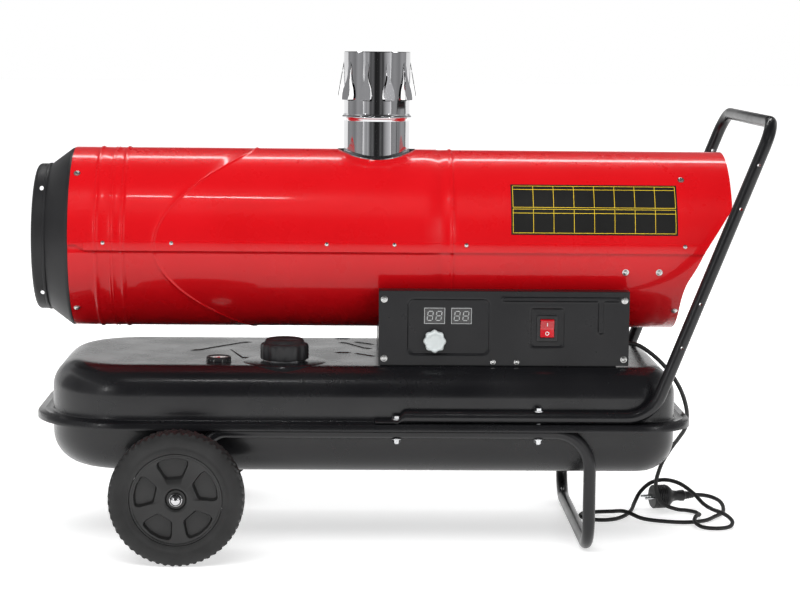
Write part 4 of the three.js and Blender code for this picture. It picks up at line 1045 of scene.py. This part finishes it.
stand = piece("stand_tube", "heater", "tube_paint", stand_shape(), ["stand_frame"], 30)
eye = [(0, -6), (12.2, -6), (13, -5.2), (13, 5.2), (12.2, 6), (0, 6)]
for side in (-FRAME_Y, FRAME_Y):
    combine(stand, moved(lathe("y", eye, 48), shift(WHEEL_X, side, WHEEL_Z)))
carve(stand, *cross_pins([(WHEEL_X, WHEEL_Z)], 6.3, -230, 230), sharp=30)


def hexagon(radius, axis, low, high):
    return prism([(radius * cos(tau * k / 6), radius * sin(tau * k / 6)) for k in range(6)], axis, low, high)


def bolt_shape(x, y):
    """A hexagon bolt down through tube, flange and tube, with its washers and its nut."""
    top = HANDLE_Z + TUBE if x > 0 else HANDLE_Z - TUBE + 6.1
    parts = [
        cylinder("z", 7.8, top, top + 1.1),
        hexagon(6.4, "z", top + 1, top + 5.4),
        lathe("z", [(0, 168.4), (3.2, 168.4), (3.8, 169), (3.8, top + 2), (0, top + 2)], 20),
        hexagon(6.6, "z", 170.6, 175.6),
        cylinder("z", 7.8, 175.4, 176.5),
    ]
    return moved(merged(*parts), shift(x, y, 0))


bolts = merged(*(bolt_shape(x, y) for x in BOLTS for y in (-FRAME_Y, FRAME_Y)))
piece("frame_bolts", "heater", "zinc", bolts)


# ---------------------------------------------------------------- wheels
RECESS_COUNT = 5
RECESS_TURN = 5
LUGS = 56


def recess_outline():
    """One recess of the wheel's face: narrow at the hub, wide and blunt at the rim."""
    corners = [(12, 31), (22.5, 50), (22.2, 56.5), (8, 61), (-8, 61), (-22.2, 56.5), (-22.5, 50), (-12, 31)]
    out = []
    count = len(corners)
    for k, at in enumerate(corners):
        before = Vector(corners[k - 1])
        after = Vector(corners[(k + 1) % count])
        at = Vector(at)
        start = at + (before - at).normalized() * 3.2
        end = at + (after - at).normalized() * 3.2
        out += [tuple(p) for p in bend(start, at, end, 3)]
    return out


def grown(outline, amount):
    middle_z = sum(z for _, z in outline) / len(outline)
    across = 1 + amount / 22
    along = 1 + amount / 15
    return [(x * across, middle_z + (z - middle_z) * along) for x, z in outline]


def wheel_shape():
    profile = [(6.06, 241), (17, 241), (18, 242), (18, 285), (62, 285), (64, 283), (64, 263)]
    profile += [(67.4, 263), (68, 263.6), (68, 300), (67.5, 301), (66.4, 301.2), (65.2, 300.6)]
    profile += [(64.4, 299.8), (22, 299.8), (19.6, 300.2), (17.4, 300.2), (15.6, 299.2), (14.4, 297)]
    profile += [(13.6, 296), (6.06, 296)]
    return lathe("y", profile + [profile[0]], 96)


def recess_shape(turn):
    outline = recess_outline()
    levels = [(289.5, -1.6), (291, -0.8), (298.4, 0), (299.4, 0.5), (300.2, 1.4), (305, 1.6)]
    rows = [[on_axis("y", y, a, b) for a, b in grown(outline, amount)] for y, amount in levels]
    return moved(skin(rows), rotation("Y", turn))


def tyre_shape():
    steps = 6
    rows = []
    for k in range(LUGS * steps + 1):
        a = tau * k / (LUGS * steps)
        section = [(68.3, 262.4), (68.3, 301.8), (69.5, 302.6), (76, 302.9), (78, 302.2)]
        section += [(80, 302.9), (90, 302.6), (94, 301.6), (96.3, 299.6)]
        for y in (298.6, 296.5, 290, 286, 282, 278, 274, 267.5, 265.4):
            phase = k / steps + abs(y - 282) / 20
            wave = sin(tau * phase)
            lift = min(max(0.5 + 2.2 * wave, 0), 1)
            crown = 0.8 * ((y - 282) / 17) ** 2
            section.append((97.4 + 2.55 * lift - crown, y))
        section += [(96.3, 264.4), (94, 262.4), (90, 261.4), (76, 261.1), (69.5, 261.4)]
        rows.append([Vector((r * cos(a), y, r * sin(a))) for r, y in section])
    rows[-1] = rows[0]
    return skin(rows, closed=True, ends=False)


def push_nut_shape():
    profile = [(6.3, 298.4), (9.3, 298.4), (9.5, 298.8), (9.5, 300.6), (8.6, 301.2), (8.4, 303.4)]
    profile += [(7.4, 305.8), (5.4, 307.7), (2.8, 308.7), (0, 309), (0, 305.6), (6.3, 305.6), (6.3, 298.4)]
    return lathe("y", profile, 48)


for side, turn in (("near", 180), ("far", 0)):
    set_name = f"wheel_{side}_set"
    to_place = [rotation("Z", turn), shift(WHEEL_X, 0, WHEEL_Z)]
    disc = moved(wheel_shape(), *to_place)
    wheel = piece(
        f"wheel_disc_{side}", set_name, "wheel_plastic", disc, [f"wheel_{side}"], 40
    )
    recess_turns = [360 / RECESS_COUNT * k + RECESS_TURN for k in range(RECESS_COUNT)]
    carve(wheel, *(moved(recess_shape(at), *to_place) for at in recess_turns), sharp=40)
    tyre = moved(tyre_shape(), *to_place)
    piece(f"tyre_tread_{side}", set_name, "tyre", tyre, [f"tyre_{side}"], 40)
    nut = moved(push_nut_shape(), *to_place)
    piece(f"push_nut_{side}", "heater", "chrome", nut, [f"axle_cap_{side}"])


# ---------------------------------------------------------------- control panel
PANEL = {"left": -31.4, "right": 348.6, "bottom": 279, "top": 392.8, "face": -155}
RECESSES = [(13, 136.1, 296.4, 379.7, 9), (199.6, 248.9, 308.4, 366.6, 4)]
RECESS_DEPTH = 2.4
BAR_HEIGHT = 2.2
RAISED_BARS = [(155.7, 333.4, 377.4, 383.8, 3), (301.4, 309.6, 328.7, 379, 3)]
DISPLAYS = [(37.3, 68.9), (78.3, 109.4)]
DISPLAY_Z = (342.3, 366.8)
KNOB = (53.3, 316.7)
SWITCH = (224, 336.4)


def into_rounded(x, z, x0, x1, z0, z1, r):
    """How far a point lies inside a rounded rectangle; less than 0 outside it."""
    dx = abs(x - (x0 + x1) / 2) - (x1 - x0) / 2 + r
    dz = abs(z - (z0 + z1) / 2) - (z1 - z0) / 2 + r
    outside = hypot(max(dx, 0), max(dz, 0))
    return r - outside - min(max(dx, dz), 0)


def eased(distance, width):
    t = min(max(distance / width + 0.5, 0), 1)
    return t * t * (3 - 2 * t)


def pressed_depth(x, z):
    deep = max(eased(into_rounded(x, z, *recess), 2.0) for recess in RECESSES) * RECESS_DEPTH
    high = max(eased(into_rounded(x, z, *bar), 1.6) for bar in RAISED_BARS) * BAR_HEIGHT
    return deep - high


def even_steps(low, high, count):
    return [low + (high - low) * k / count for k in range(count + 1)]


def panel_shape():
    edge = 0.8
    columns = even_steps(PANEL["left"] + edge, PANEL["right"] - edge, 240)
    levels = even_steps(PANEL["bottom"] + edge, PANEL["top"] - edge, 76)
    outer = []
    inner = []
    for z in levels:
        depths = [PANEL["face"] + pressed_depth(x, z) for x in columns]
        outer.append([Vector((x, y, z)) for x, y in zip(columns, depths)])
        inner.append([Vector((x, y + SHEET, z)) for x, y in zip(columns, depths)])
    return shell(outer, inner)


def panel_return():
    """The panel's folded top and its two folded ends."""
    left, right, bottom, top = (PANEL[key] for key in ("left", "right", "bottom", "top"))
    face = PANEL["face"]
    back = -sqrt(HOOD_RADIUS**2 - (top - AXIS_Z) ** 2) - 2
    under = top - SHEET
    fold = [(face + 0.4, under), (face + 0.4, top - 0.5), (face + 1, top), (back, top), (back, under)]
    ends = [
        slab((x, x + SHEET), (face + 0.4, face + 9), (bottom + 0.5, top - 0.6))
        for x in (left, right - SHEET)
    ]
    return merged(prism(fold, "x", left, right), *ends)


def round_switch(half, high, r):
    x, z = SWITCH
    return rounded(x - half, x + half, z - high, z + high, r)


def panel_holes():
    through_panel = ("y", -165, -140)
    holes = [prism(rectangle(*display, *DISPLAY_Z), *through_panel) for display in DISPLAYS]
    holes.append(moved(cylinder("y", 4.2, *through_panel[1:]), shift(KNOB[0], 0, KNOB[1])))
    holes.append(prism(round_switch(13.5, 17.5, 1), *through_panel))
    return holes


panel = piece("panel_cover", "heater", "panel_paint", panel_shape(), ["control_panel"], 40)
carve(panel, *panel_holes(), sharp=40)
piece("panel_folds", "heater", "panel_paint", panel_return())


def segment(x, z, wide, tall):
    """A display's segment: a bar with pointed ends."""
    tip = min(wide, tall) / 2
    end = max(wide, tall) / 2
    bar = [(-end, 0), (tip - end, -tip), (end - tip, -tip), (end, 0), (end - tip, tip), (tip - end, tip)]
    if wide > tall:
        return [(x + along, z + across) for along, across in bar]
    return [(x - across, z + along) for along, across in bar]


def digit(x, z):
    """A figure 8 of seven segments, leaning to the right."""
    half = 3.9
    tall = 6.9
    bars = [segment(0, level, 2 * half - 1.4, 1.3) for level in (-tall, 0, tall)]
    for side in (-half, half):
        bars += [segment(side, level, 1.3, tall - 1.2) for level in (-tall / 2, tall / 2)]
    lean = 0.13
    face = -153.35
    return [prism([(x + a + lean * b, z + b) for a, b in bar], "y", face - 0.12, face) for bar in bars]


glasses = []
marks = []
frames = []
low, high = DISPLAY_Z
rim = 0.9
for x0, x1 in DISPLAYS:
    glass = rounded(x0 + 0.3, x1 - 0.3, low + 0.3, high - 0.3, 0.8)
    glasses.append(prism(glass, "y", -153.25, -149))
    for aside in (-6.6, 6.6):
        marks += digit((x0 + x1) / 2 + aside, (low + high) / 2)
    sides = [((x0, x1), z) for z in ((low, low + rim), (high - rim, high))]
    sides += [(x, (low + rim, high - rim)) for x in ((x0, x0 + rim), (x1 - rim, x1))]
    frames += [slab(x, (-153.5, -152.6), z) for x, z in sides]
piece("display_glass", "heater", "display_glass", merged(*glasses))
piece("display_segments", "heater", "segment_grey", merged(*marks))
piece("display_frames", "heater", "segment_grey", merged(*frames))


def lobed_ring(radius, depth, lobes, y=None, z=None, count=96):
    """A ring whose radius rises and falls, across the Y axis or the Z axis."""
    out = []
    for k in range(count):
        a = tau * k / count
        r = radius - depth * (1 - cos(lobes * a)) / 2
        out.append((r * cos(a), y, r * sin(a)) if z is None else (r * cos(a), r * sin(a), z))
    return out


def knob_shape():
    front = -170.6
    rows = [lobed_ring(0.3, 0, 8, y=-134), lobed_ring(2.9, 0, 8, y=-134), lobed_ring(2.9, 0, 8, y=-153.6)]
    for radius, depth, y in (
        (15.6, 1.2, -153.6),
        (16.6, 1.6, -154.2),
        (17.2, 2.0, -156),
        (17.0, 2.0, front + 2.6),
        (16.4, 1.9, front + 1.2),
        (15.2, 1.6, front + 0.4),
        (13.6, 1.2, front),
        (12.2, 0.6, front + 0.1),
        (11.4, 0.2, front + 0.6),
        (6, 0, front + 0.8),
        (0.3, 0, front + 0.8),
    ):
        rows.append(lobed_ring(radius, depth, 8, y=y))
    return moved(skin(rows), shift(KNOB[0], 0, KNOB[1]))


piece("knob", "thermostat_control", "knob_plastic", knob_shape(), ["thermostat_knob"], 35)


def rocker_shape():
    """The rocker's section is a shallow V in front of a round back."""
    r = 14
    side = [(-r * sin(radians(a)), r * cos(radians(a))) for a in (-20, -10, 0, 10, 18, 23, 25)]
    profile = side + [(-4.6, 6.6), (-3.4, 1.2), (-3.2, 0), (-3.4, -1.2), (-4.6, -6.6)]
    profile += [(y, -z) for y, z in reversed(side)]
    rows = []
    for x, shrink in ((-10.5, 0.7), (-10.2, 0.2), (-9.8, 0), (9.8, 0), (10.2, 0.2), (10.5, 0.7)):
        rows.append([Vector((x, y + shrink, z * (1 - shrink / 14))) for y, z in profile])
    return skin(rows)


def rocker_marks():
    bar = slab((-0.7, 0.7), (-0.25, 0.1), (-2.9, 2.9))
    ring = lathe("y", [(2.0, -0.25), (3.0, -0.25), (3.0, 0.1), (2.0, 0.1), (2.0, -0.25)], 32)
    upper = moved(bar, rotation("X", 12), shift(0, -4.75, 7))
    lower = moved(ring, rotation("X", -12), shift(0, -4.75, -7))
    return merged(upper, lower)


to_switch = [rotation("X", 8), shift(SWITCH[0], -152, SWITCH[1])]
piece("rocker", "rocker", "red_plastic", moved(rocker_shape(), *to_switch), ["rocker_switch"], 30)
piece("rocker_marks", "rocker", "white_plastic", moved(rocker_marks(), *to_switch))


def bezel_shape():
    levels = [(-126, -2.8), (-152.2, -2.8), (-152.2, -0.2), (-152.9, 0), (-154.4, 0), (-155, -0.5)]
    rows = []
    for y, grow in [*levels, (-155.1, -1.2)]:
        outline = round_switch(16 + grow, 20 + grow, 2.2)
        rows.append([on_axis("y", y, a, b) for a, b in outline])
    return skin(rows)


bezel = piece("switch_bezel", "heater", "black_plastic", bezel_shape(), ["switch_housing"], 40)
carve(bezel, prism(round_switch(11, 14.6, 0.8), "y", -165, -140), sharp=40)


# ---------------------------------------------------------------- screws, rivets and plate
def screw_template(radius, height):
    """A pan-head screw on its washer, facing -Y, with a cross recess."""
    washer = [(0, 0), (radius + 1, 0), (radius + 1, -0.8), (radius, -1)]
    head = [(radius, -1.2), (radius * 0.96, -0.6 * height - 0.6), (radius * 0.75, -height - 0.3)]
    head += [(radius * 0.4, -height - 0.8), (0, -height - 1)]
    made = piece("screw_template", "heater", "zinc", lathe("y", washer + head, 32))
    reach = radius * 0.62
    arm = 0.55
    cross = []
    for a, b in ((1, 1), (-1, 1), (-1, -1), (1, -1)):
        corner = [(a * reach, b * arm), (a * arm, b * arm), (a * arm, b * reach)]
        cross += corner if a == b else corner[::-1]
    carve(made, prism(cross, "y", -height - 3, -height + 0.4))
    points = [v.co / MM for v in made.data.vertices]
    faces = [list(face.vertices) for face in made.data.polygons]
    mesh = made.data
    bpy.data.objects.remove(made)
    bpy.data.meshes.remove(mesh)
    return points, faces


large_screw = screw_template(4.1, 2.4)
small_screw = screw_template(3.0, 2.0)
PANEL_SCREWS = [(-23.3, 379.8), (-23.1, 289.6), (341, 379.6), (341, 289.7)]
LOW_SCREWS = [(142.3, 284.8), (178.2, 284.8)]
CASING_SCREWS = [
    (-491.2, 48),
    (-492.5, -47.2),
    (430.5, 46.5),
    (344.1, -15.9),
    (395.5, -15.8),
    (425.5, -46.9),
]
LIP_RIVETS = (-448.3, -345.1, -110.7, -8.3, 100.7, 433.0)


def stand_on_casing(shape, x, radius, degrees):
    """Puts a shape that faces -Y on the casing's skin."""
    return moved(shape, shift(x, -radius, 0), rotation("X", -degrees), shift(0, 0, AXIS_Z))


def casing_screws():
    out = []
    for x, degrees in CASING_SCREWS:
        radius = (HOOD_RADIUS if degrees > 0 else SHELL_RADIUS) + (0.7 if x < SEAM else 0) - 0.2
        for angle in (degrees, 180 - degrees):
            out.append(stand_on_casing(large_screw, x, radius, angle))
    return out


def rivets():
    dome = lathe("y", [(0, 0.5), (3.3, 0.5), (3.3, -0.2), (2.9, -0.9), (1.9, -1.5), (0, -1.8)], 24)
    out = []
    for x in LIP_RIVETS:
        out += [stand_on_casing(dome, x, HOOD_RADIUS + 1.2, angle) for angle in (1.1, 178.9)]
    return out


def panel_screws():
    """The panel's screws, each turned another way."""
    out = []
    for k, (x, z) in enumerate(PANEL_SCREWS):
        out.append(moved(large_screw, rotation("Y", 31 * k + 12), shift(x, PANEL["face"], z)))
    for k, (x, z) in enumerate(LOW_SCREWS):
        out.append(moved(small_screw, rotation("Y", 40 * k), shift(x, PANEL["face"], z)))
    return out


piece("panel_screws", "heater", "screw_zinc", merged(*panel_screws()))
piece("casing_screws", "heater", "screw_zinc", merged(*casing_screws()))
piece("lip_rivets", "heater", "screw_zinc", merged(*rivets()))


def casing_patch(x0, x1, low, high, inner, outer, steps=12):
    """A thin plate bent round the casing, between two angles."""
    layers = []
    for radius in (outer, inner):
        angles = even_steps(low, high, steps)
        layers.append([[on_casing(x, radius, a) for x in (x0, x1)] for a in angles])
    return shell(*layers)


PLATE = {"left": 168.5, "right": 422, "low": 7.9, "high": 41.8}
plate_skin = HOOD_RADIUS + 0.05
plate = casing_patch(*PLATE.values(), plate_skin, plate_skin + 0.4, 24)
piece("rating_plate", "heater", "plate_black", plate)


def plate_rules():
    """Plain ruled lines on the blank plate."""
    line = plate_skin + 0.4
    out = []
    left = PLATE["left"] + 3
    right = PLATE["right"] - 3
    middle = (PLATE["low"] + PLATE["high"]) / 2
    for low in (PLATE["low"] + 1.2, middle + 0.6):
        high = low + (PLATE["high"] - PLATE["low"]) / 2 - 1.8
        for k in range(9):
            x = left + (right - left) * k / 8
            out.append(casing_patch(x - 0.35, x + 0.35, low, high, line, line + 0.08, 8))
        for level in (low, high - 2.6, high):
            out.append(casing_patch(left, right, level - 0.15, level + 0.15, line, line + 0.08, 2))
    return merged(*out)


piece("plate_lines", "heater", "plate_yellow", plate_rules())


# ---------------------------------------------------------------- filler cap and gauge
def cap_shape():
    """Rings from the hollow, over the lobed skirt, to the crown: radius, depth of the lobes, height."""
    low = 281.4
    hollow = [(24, 0, 18.4), (24, 0, 0), (34.5, 0, 0)]
    skirt = [(36.4, 1.8, 0.5), (37, 2.3, 2), (37, 2.3, 20), (36.5, 2.2, 22.4), (35, 1.6, 24.2)]
    crown = [(33.2, 0.6, 25), (31.4, 0.2, 25.6), (30.4, 0, 27), (28.6, 0, 30.4), (27, 0, 31.6)]
    crown += [(25, 0, 32), (22, 0, 31.6), (20, 0, 31.2)]
    rows = [lobed_ring(r, depth, 12, z=low + up) for r, depth, up in hollow + skirt + crown]
    return moved(skin(rows), shift(BOSS["x"], BOSS["y"], 0))


piece("filler_cap", "cap", "black_plastic", cap_shape(), ["fuel_cap"], 35)
gauge_rim = [(15.4, 283.2), (15.4, 284.4), (16.2, 285.2), (17.8, 285.2), (19, 283.8), (19, 278.3)]
gauge_rim += [(18.2, 278.3), (18.2, 283.2), (15.4, 283.2)]
piece("gauge_rim", "heater", "black_plastic", moved(lathe("z", gauge_rim, 64), shift(*GAUGE, 0)))
needle = merged(
    moved(slab((-1, 10), (-0.5, 0.5), (283.1, 283.5)), rotation("Z", 200)),
    lathe("z", [(0, 283.1), (2, 283.1), (2, 284), (0, 284.2)], 20),
)
piece("gauge_needle", "heater", "red_plastic", moved(needle, shift(*GAUGE, 0)))
ticks = [moved(slab((11, 14), (-0.35, 0.35), (283.1, 283.3)), rotation("Z", 30 * k)) for k in range(7)]
piece("gauge_ticks", "heater", "black_plastic", moved(merged(*ticks), shift(*GAUGE, 0)))


# ---------------------------------------------------------------- cable gland
to_gland = shift(0, CORD_EXIT[1], CORD_EXIT[2])
relief = [(0, 335.8), (7.6, 335.8), (7.8, 336.4), (7.4, 338.6), (6.6, 339)]
for k in range(4):
    r = 6.4 - 0.4 * k
    at = 339.4 + 3 * k
    relief += [(r, at), (r, at + 1.7), (r - 0.9, at + 2), (r - 0.9, at + 2.8)]
relief += [(CORD_RADIUS + 0.9, 351.6), (CORD_RADIUS + 0.6, 352), (0, 352)]
gland = moved(merged(hexagon(8.9, "x", 330.4, 336.2), lathe("x", relief, 48)), to_gland)
piece("gland", "heater", "black_plastic", gland, ["cable_gland"])


# ---------------------------------------------------------------- inside the casing
def hoop(x, radius, wire, sides=96):
    section = [(radius + wire * cos(tau * k / 10), x + wire * sin(tau * k / 10)) for k in range(10)]
    return lathe("x", section + [section[0]], sides)


def guard_shape():
    hoops = [hoop(423.6, radius, 1.4) for radius in (134, 120, 106, 92, 78, 64, 50, 36)]
    spokes = []
    for angle in (30, 90, 150):
        bar = tube([(424.9, -134.6, 0), (425.1, 0, 0), (424.9, 134.6, 0)], 1.5, 12)
        spokes.append(moved(bar, rotation("X", angle)))
    disc = [(0, 422.2), (24, 422.2), (26, 423), (26, 424.4), (24, 425.4), (0, 425.8)]
    return about_axis(merged(*hoops, *spokes, lathe("x", disc, 64)))


piece("guard_wires", "heater", "zinc", guard_shape(), ["intake_guard"], 40)


BLADES = 5
BLADE_THICKNESS = 1.7
FAN_X = 387


def blade_shape():
    """A blade is lofted outwards from the hub, and its pitch eases on the way."""
    rows = []
    for share in even_steps(0, 1, 12):
        radius = 24 + 99.6 * share
        chord = 30 + 28 * sin(pi / 2 * min(share * 1.4, 1))
        pitch = radians(32 - 11 * share)
        camber = [(t * chord, 0.09 * chord * (1 - (2 * t) ** 2)) for t in even_steps(-0.5, 0.5, 10)]
        section = [(along, up + BLADE_THICKNESS) for along, up in camber] + camber[::-1]
        row = []
        for along, up in section:
            x = FAN_X + along * sin(pitch) + up * cos(pitch)
            row.append(Vector((x, along * cos(pitch) - up * sin(pitch), radius)))
        rows.append(row)
    return skin(rows)


hub = [(6.3, 372), (24, 372), (27.4, 373.4), (28, 376), (28, 403), (26.6, 405.4), (24, 406), (12, 406)]
hub += [(11, 404.6), (6.3, 404.6), (6.3, 372)]
blades = [moved(blade_shape(), rotation("X", 360 / BLADES * k)) for k in range(BLADES)]
fan = about_axis(merged(lathe("x", hub, 64), *blades))
piece("fan_wheel", "rotor", "cast_grey", fan, ["axial_fan"], 30)


def motor_shape():
    profile = [(6.1, 262), (20, 262), (20, 267), (24, 268), (46, 268), (50, 270), (52, 274)]
    for k in range(9):
        at = 278 + 7 * k
        profile += [(52, at), (52, at + 3.4), (49.4, at + 3.9), (49.4, at + 6.4)]
    profile += [(52, 341), (50, 344), (46, 346), (24, 346), (20, 347), (20, 352), (6.1, 352), (6.1, 262)]
    return about_axis(lathe("x", profile, 72))


piece("motor_body", "heater", "cast_grey", motor_shape(), ["fan_motor"], 30)


def chamber_shape():
    profile = [(0, -444), (20, -443.4), (44, -440.6), (60, -436), (69, -430), (75.4, -423)]
    profile += [(78, -416), (78, 122), (38.3, 122), (38.3, 120), (76, 120), (76, -415.6), (73.6, -422)]
    profile += [(67.6, -428.6), (59, -434.2), (43.6, -438.6), (20, -441.4), (0, -442)]
    return about_axis(lathe("x", profile, 96))


CROSSOVER_X = -340
chamber = piece("chamber_drum", "heater", "stainless", chamber_shape(), ["combustion_chamber"], 35)
carve(chamber, hole(CROSSOVER_X, 0, 23, 350, 396))
jacket = [(88, -389), (89, -390), (111, -390), (112, -389), (112, 59), (111, 60), (89, 60), (88, 59)]
jacket.append(jacket[0])
jacket_inside = [(90, -388), (110, -388), (110, 58), (90, 58), (90, -388)]
exchanger = piece(
    "exchanger_jacket",
    "heater",
    "stainless",
    about_axis(lathe("x", jacket, 96)),
    ["heat_exchanger"],
    35,
)
carve(exchanger, about_axis(lathe("x", jacket_inside, 96)))
carve(exchanger, hole(FLUE_X, 0, 48.6, 550, 590), hole(CROSSOVER_X, 0, 23, 330, 376))


# ---------------------------------------------------------------- studio
def seen_directly(tree):
    """1 for what the camera sees itself, in gloss or through glass, and 0 for diffuse light."""
    path = tree.nodes.new("ShaderNodeLightPath")
    either = path.outputs["Is Camera Ray"]
    for kind in ("Is Glossy Ray", "Is Transmission Ray"):
        both = tree.nodes.new("ShaderNodeMath")
        both.operation = "MAXIMUM"
        tree.links.new(either, both.inputs[0])
        tree.links.new(path.outputs[kind], both.inputs[1])
        either = both.outputs[0]
    return either


def make_floor():
    """A pale floor, lifted to white away from the object, so that only the shadow shows."""
    half = 30
    corners = [(x, y, 0) for x, y in rectangle(-half, half, -half, half)]
    mesh = bpy.data.meshes.new("floor")
    mesh.from_pydata(corners, [], [(0, 1, 2, 3)])
    made = Finish("studio_floor")
    made.colour((0.6, 0.6, 0.6), (0.62, 0.62, 0.62), 2.0)
    made.fixed(Roughness=0.7, Emission_Color=(1, 1, 1, 1))
    distance = made.add("ShaderNodeVectorMath", operation="LENGTH")
    made.join(made.place, distance.inputs[0])
    far = made.add("ShaderNodeMapRange")
    for key, value in (("From Min", 0.7), ("From Max", 2.5), ("To Min", 0.62), ("To Max", 0.9)):
        far.inputs[key].default_value = value
    made.join(distance.outputs["Value"], far.inputs["Value"])
    lift = made.add("ShaderNodeMath", operation="MULTIPLY")
    made.join(far.outputs["Result"], lift.inputs[1])
    made.join(seen_directly(made.tree), lift.inputs[0])
    made.join(lift.outputs[0], made.shader.inputs["Emission Strength"])
    mesh.materials.append(made.material)
    floor = placed("floor", mesh)
    floor.location.z = -0.0005


def make_world():
    world = bpy.data.worlds.new("studio")
    bpy.context.scene.world = world
    world.use_nodes = True
    tree = world.node_tree
    background = tree.nodes["Background"]
    background.inputs["Color"].default_value = (1, 1, 1, 1)
    strength = tree.nodes.new("ShaderNodeMapRange")
    strength.inputs["To Min"].default_value = 0.26
    strength.inputs["To Max"].default_value = 1.0
    tree.links.new(seen_directly(tree), strength.inputs["Value"])
    tree.links.new(strength.outputs["Result"], background.inputs["Strength"])


def dark_card(name, at, turn, size, tones):
    """The dark room round the studio: a panel of stripes that only gloss shows."""
    wide, high = size[0] / 2, size[1] / 2
    mesh = bpy.data.meshes.new(name)
    corners = [(x, 0, z) for x, z in rectangle(-wide, wide, -high, high)]
    mesh.from_pydata(corners, [], [(0, 1, 2, 3)])
    material = bpy.data.materials.new(name)
    material.use_nodes = True
    tree = material.node_tree
    tree.nodes.clear()
    place = tree.nodes.new("ShaderNodeTexCoord")
    split = tree.nodes.new("ShaderNodeSeparateXYZ")
    across = tree.nodes.new("ShaderNodeMapRange")
    across.inputs["From Min"].default_value = -wide
    across.inputs["From Max"].default_value = wide
    ramp = tree.nodes.new("ShaderNodeValToRGB")
    for position, _ in tones[1:-1]:
        ramp.color_ramp.elements.new(position)
    for element, (_, tone) in zip(ramp.color_ramp.elements, tones):
        element.color = (tone, tone, tone * 1.02, 1)
    light = tree.nodes.new("ShaderNodeEmission")
    out = tree.nodes.new("ShaderNodeOutputMaterial")
    tree.links.new(place.outputs["Object"], split.inputs[0])
    tree.links.new(split.outputs["X"], across.inputs["Value"])
    tree.links.new(across.outputs["Result"], ramp.inputs["Fac"])
    tree.links.new(ramp.outputs["Color"], light.inputs["Color"])
    tree.links.new(light.outputs[0], out.inputs["Surface"])
    mesh.materials.append(material)
    card = placed(name, mesh)
    card.location = at
    card.rotation_euler = [radians(angle) for angle in turn]
    for ray in ("camera", "diffuse", "shadow", "transmission"):
        setattr(card, f"visible_{ray}", False)


def softbox(name, at, size, watts, glossy=True):
    """A soft lamp aimed at the middle of the heater."""
    data = bpy.data.lights.new(name, "AREA")
    data.shape = "RECTANGLE"
    data.size, data.size_y = size
    data.energy = watts
    lamp = placed(name, data)
    lamp.location = at
    middle = 0.45 if glossy else 0.4
    aim = Vector((0, 0, middle)) - Vector(at)
    lamp.rotation_euler = aim.to_track_quat("-Z", "Y").to_euler()
    lamp.visible_glossy = glossy


ROOM = [
    (0.0, 0.75),
    (0.14, 0.35),
    (0.22, 0.5),
    (0.3, 0.1),
    (0.38, 0.16),
    (0.44, 0.02),
    (0.55, 0.03),
    (0.6, 0.14),
    (0.66, 0.05),
    (0.72, 0.3),
    (0.8, 0.5),
    (1.0, 0.8),
]
SIDE = [(0.0, 0.34), (0.35, 0.42), (0.5, 0.26), (0.75, 0.36), (1.0, 0.3)]
CEILING = [(0.0, 0.3), (0.3, 0.05), (0.7, 0.05), (1.0, 0.3)]
make_floor()
make_world()
dark_card("room_front", (0, -6.0, 1.75), (0, 0, 0), (13, 5.6), ROOM)
dark_card("room_back", (0, 6.0, 3.1), (0, 0, 180), (13, 2.9), ROOM)
dark_card("room_left", (-7.0, -1.0, 1.75), (0, 0, 90), (10, 5.6), SIDE)
dark_card("room_right", (7.0, -1.0, 1.75), (0, 0, -90), (10, 5.6), SIDE)
dark_card("ceiling", (0, 0, 4.5), (90, 0, 0), (12, 12), CEILING)
softbox("key", (-0.6, -2.2, 3.0), (3.5, 1.6), 118, glossy=False)
softbox("fill", (1.6, -3.4, 1.2), (1.5, 1.2), 22, glossy=False)
softbox("back", (0.5, 2.6, 2.6), (3.0, 1.2), 55, glossy=False)
softbox("glint_left", (-2.8, -3.2, 1.5), (0.25, 1.0), 8)
softbox("glint_right", (2.8, -3.2, 1.5), (0.25, 1.0), 8)
softbox("glint_high", (-0.5, -2.1, 3.6), (0.5, 0.08), 5)
softbox("top_band", (0, 2.2, 3.4), (3.0, 0.3), 34)

bpy.context.scene.view_settings.view_transform = "Standard"
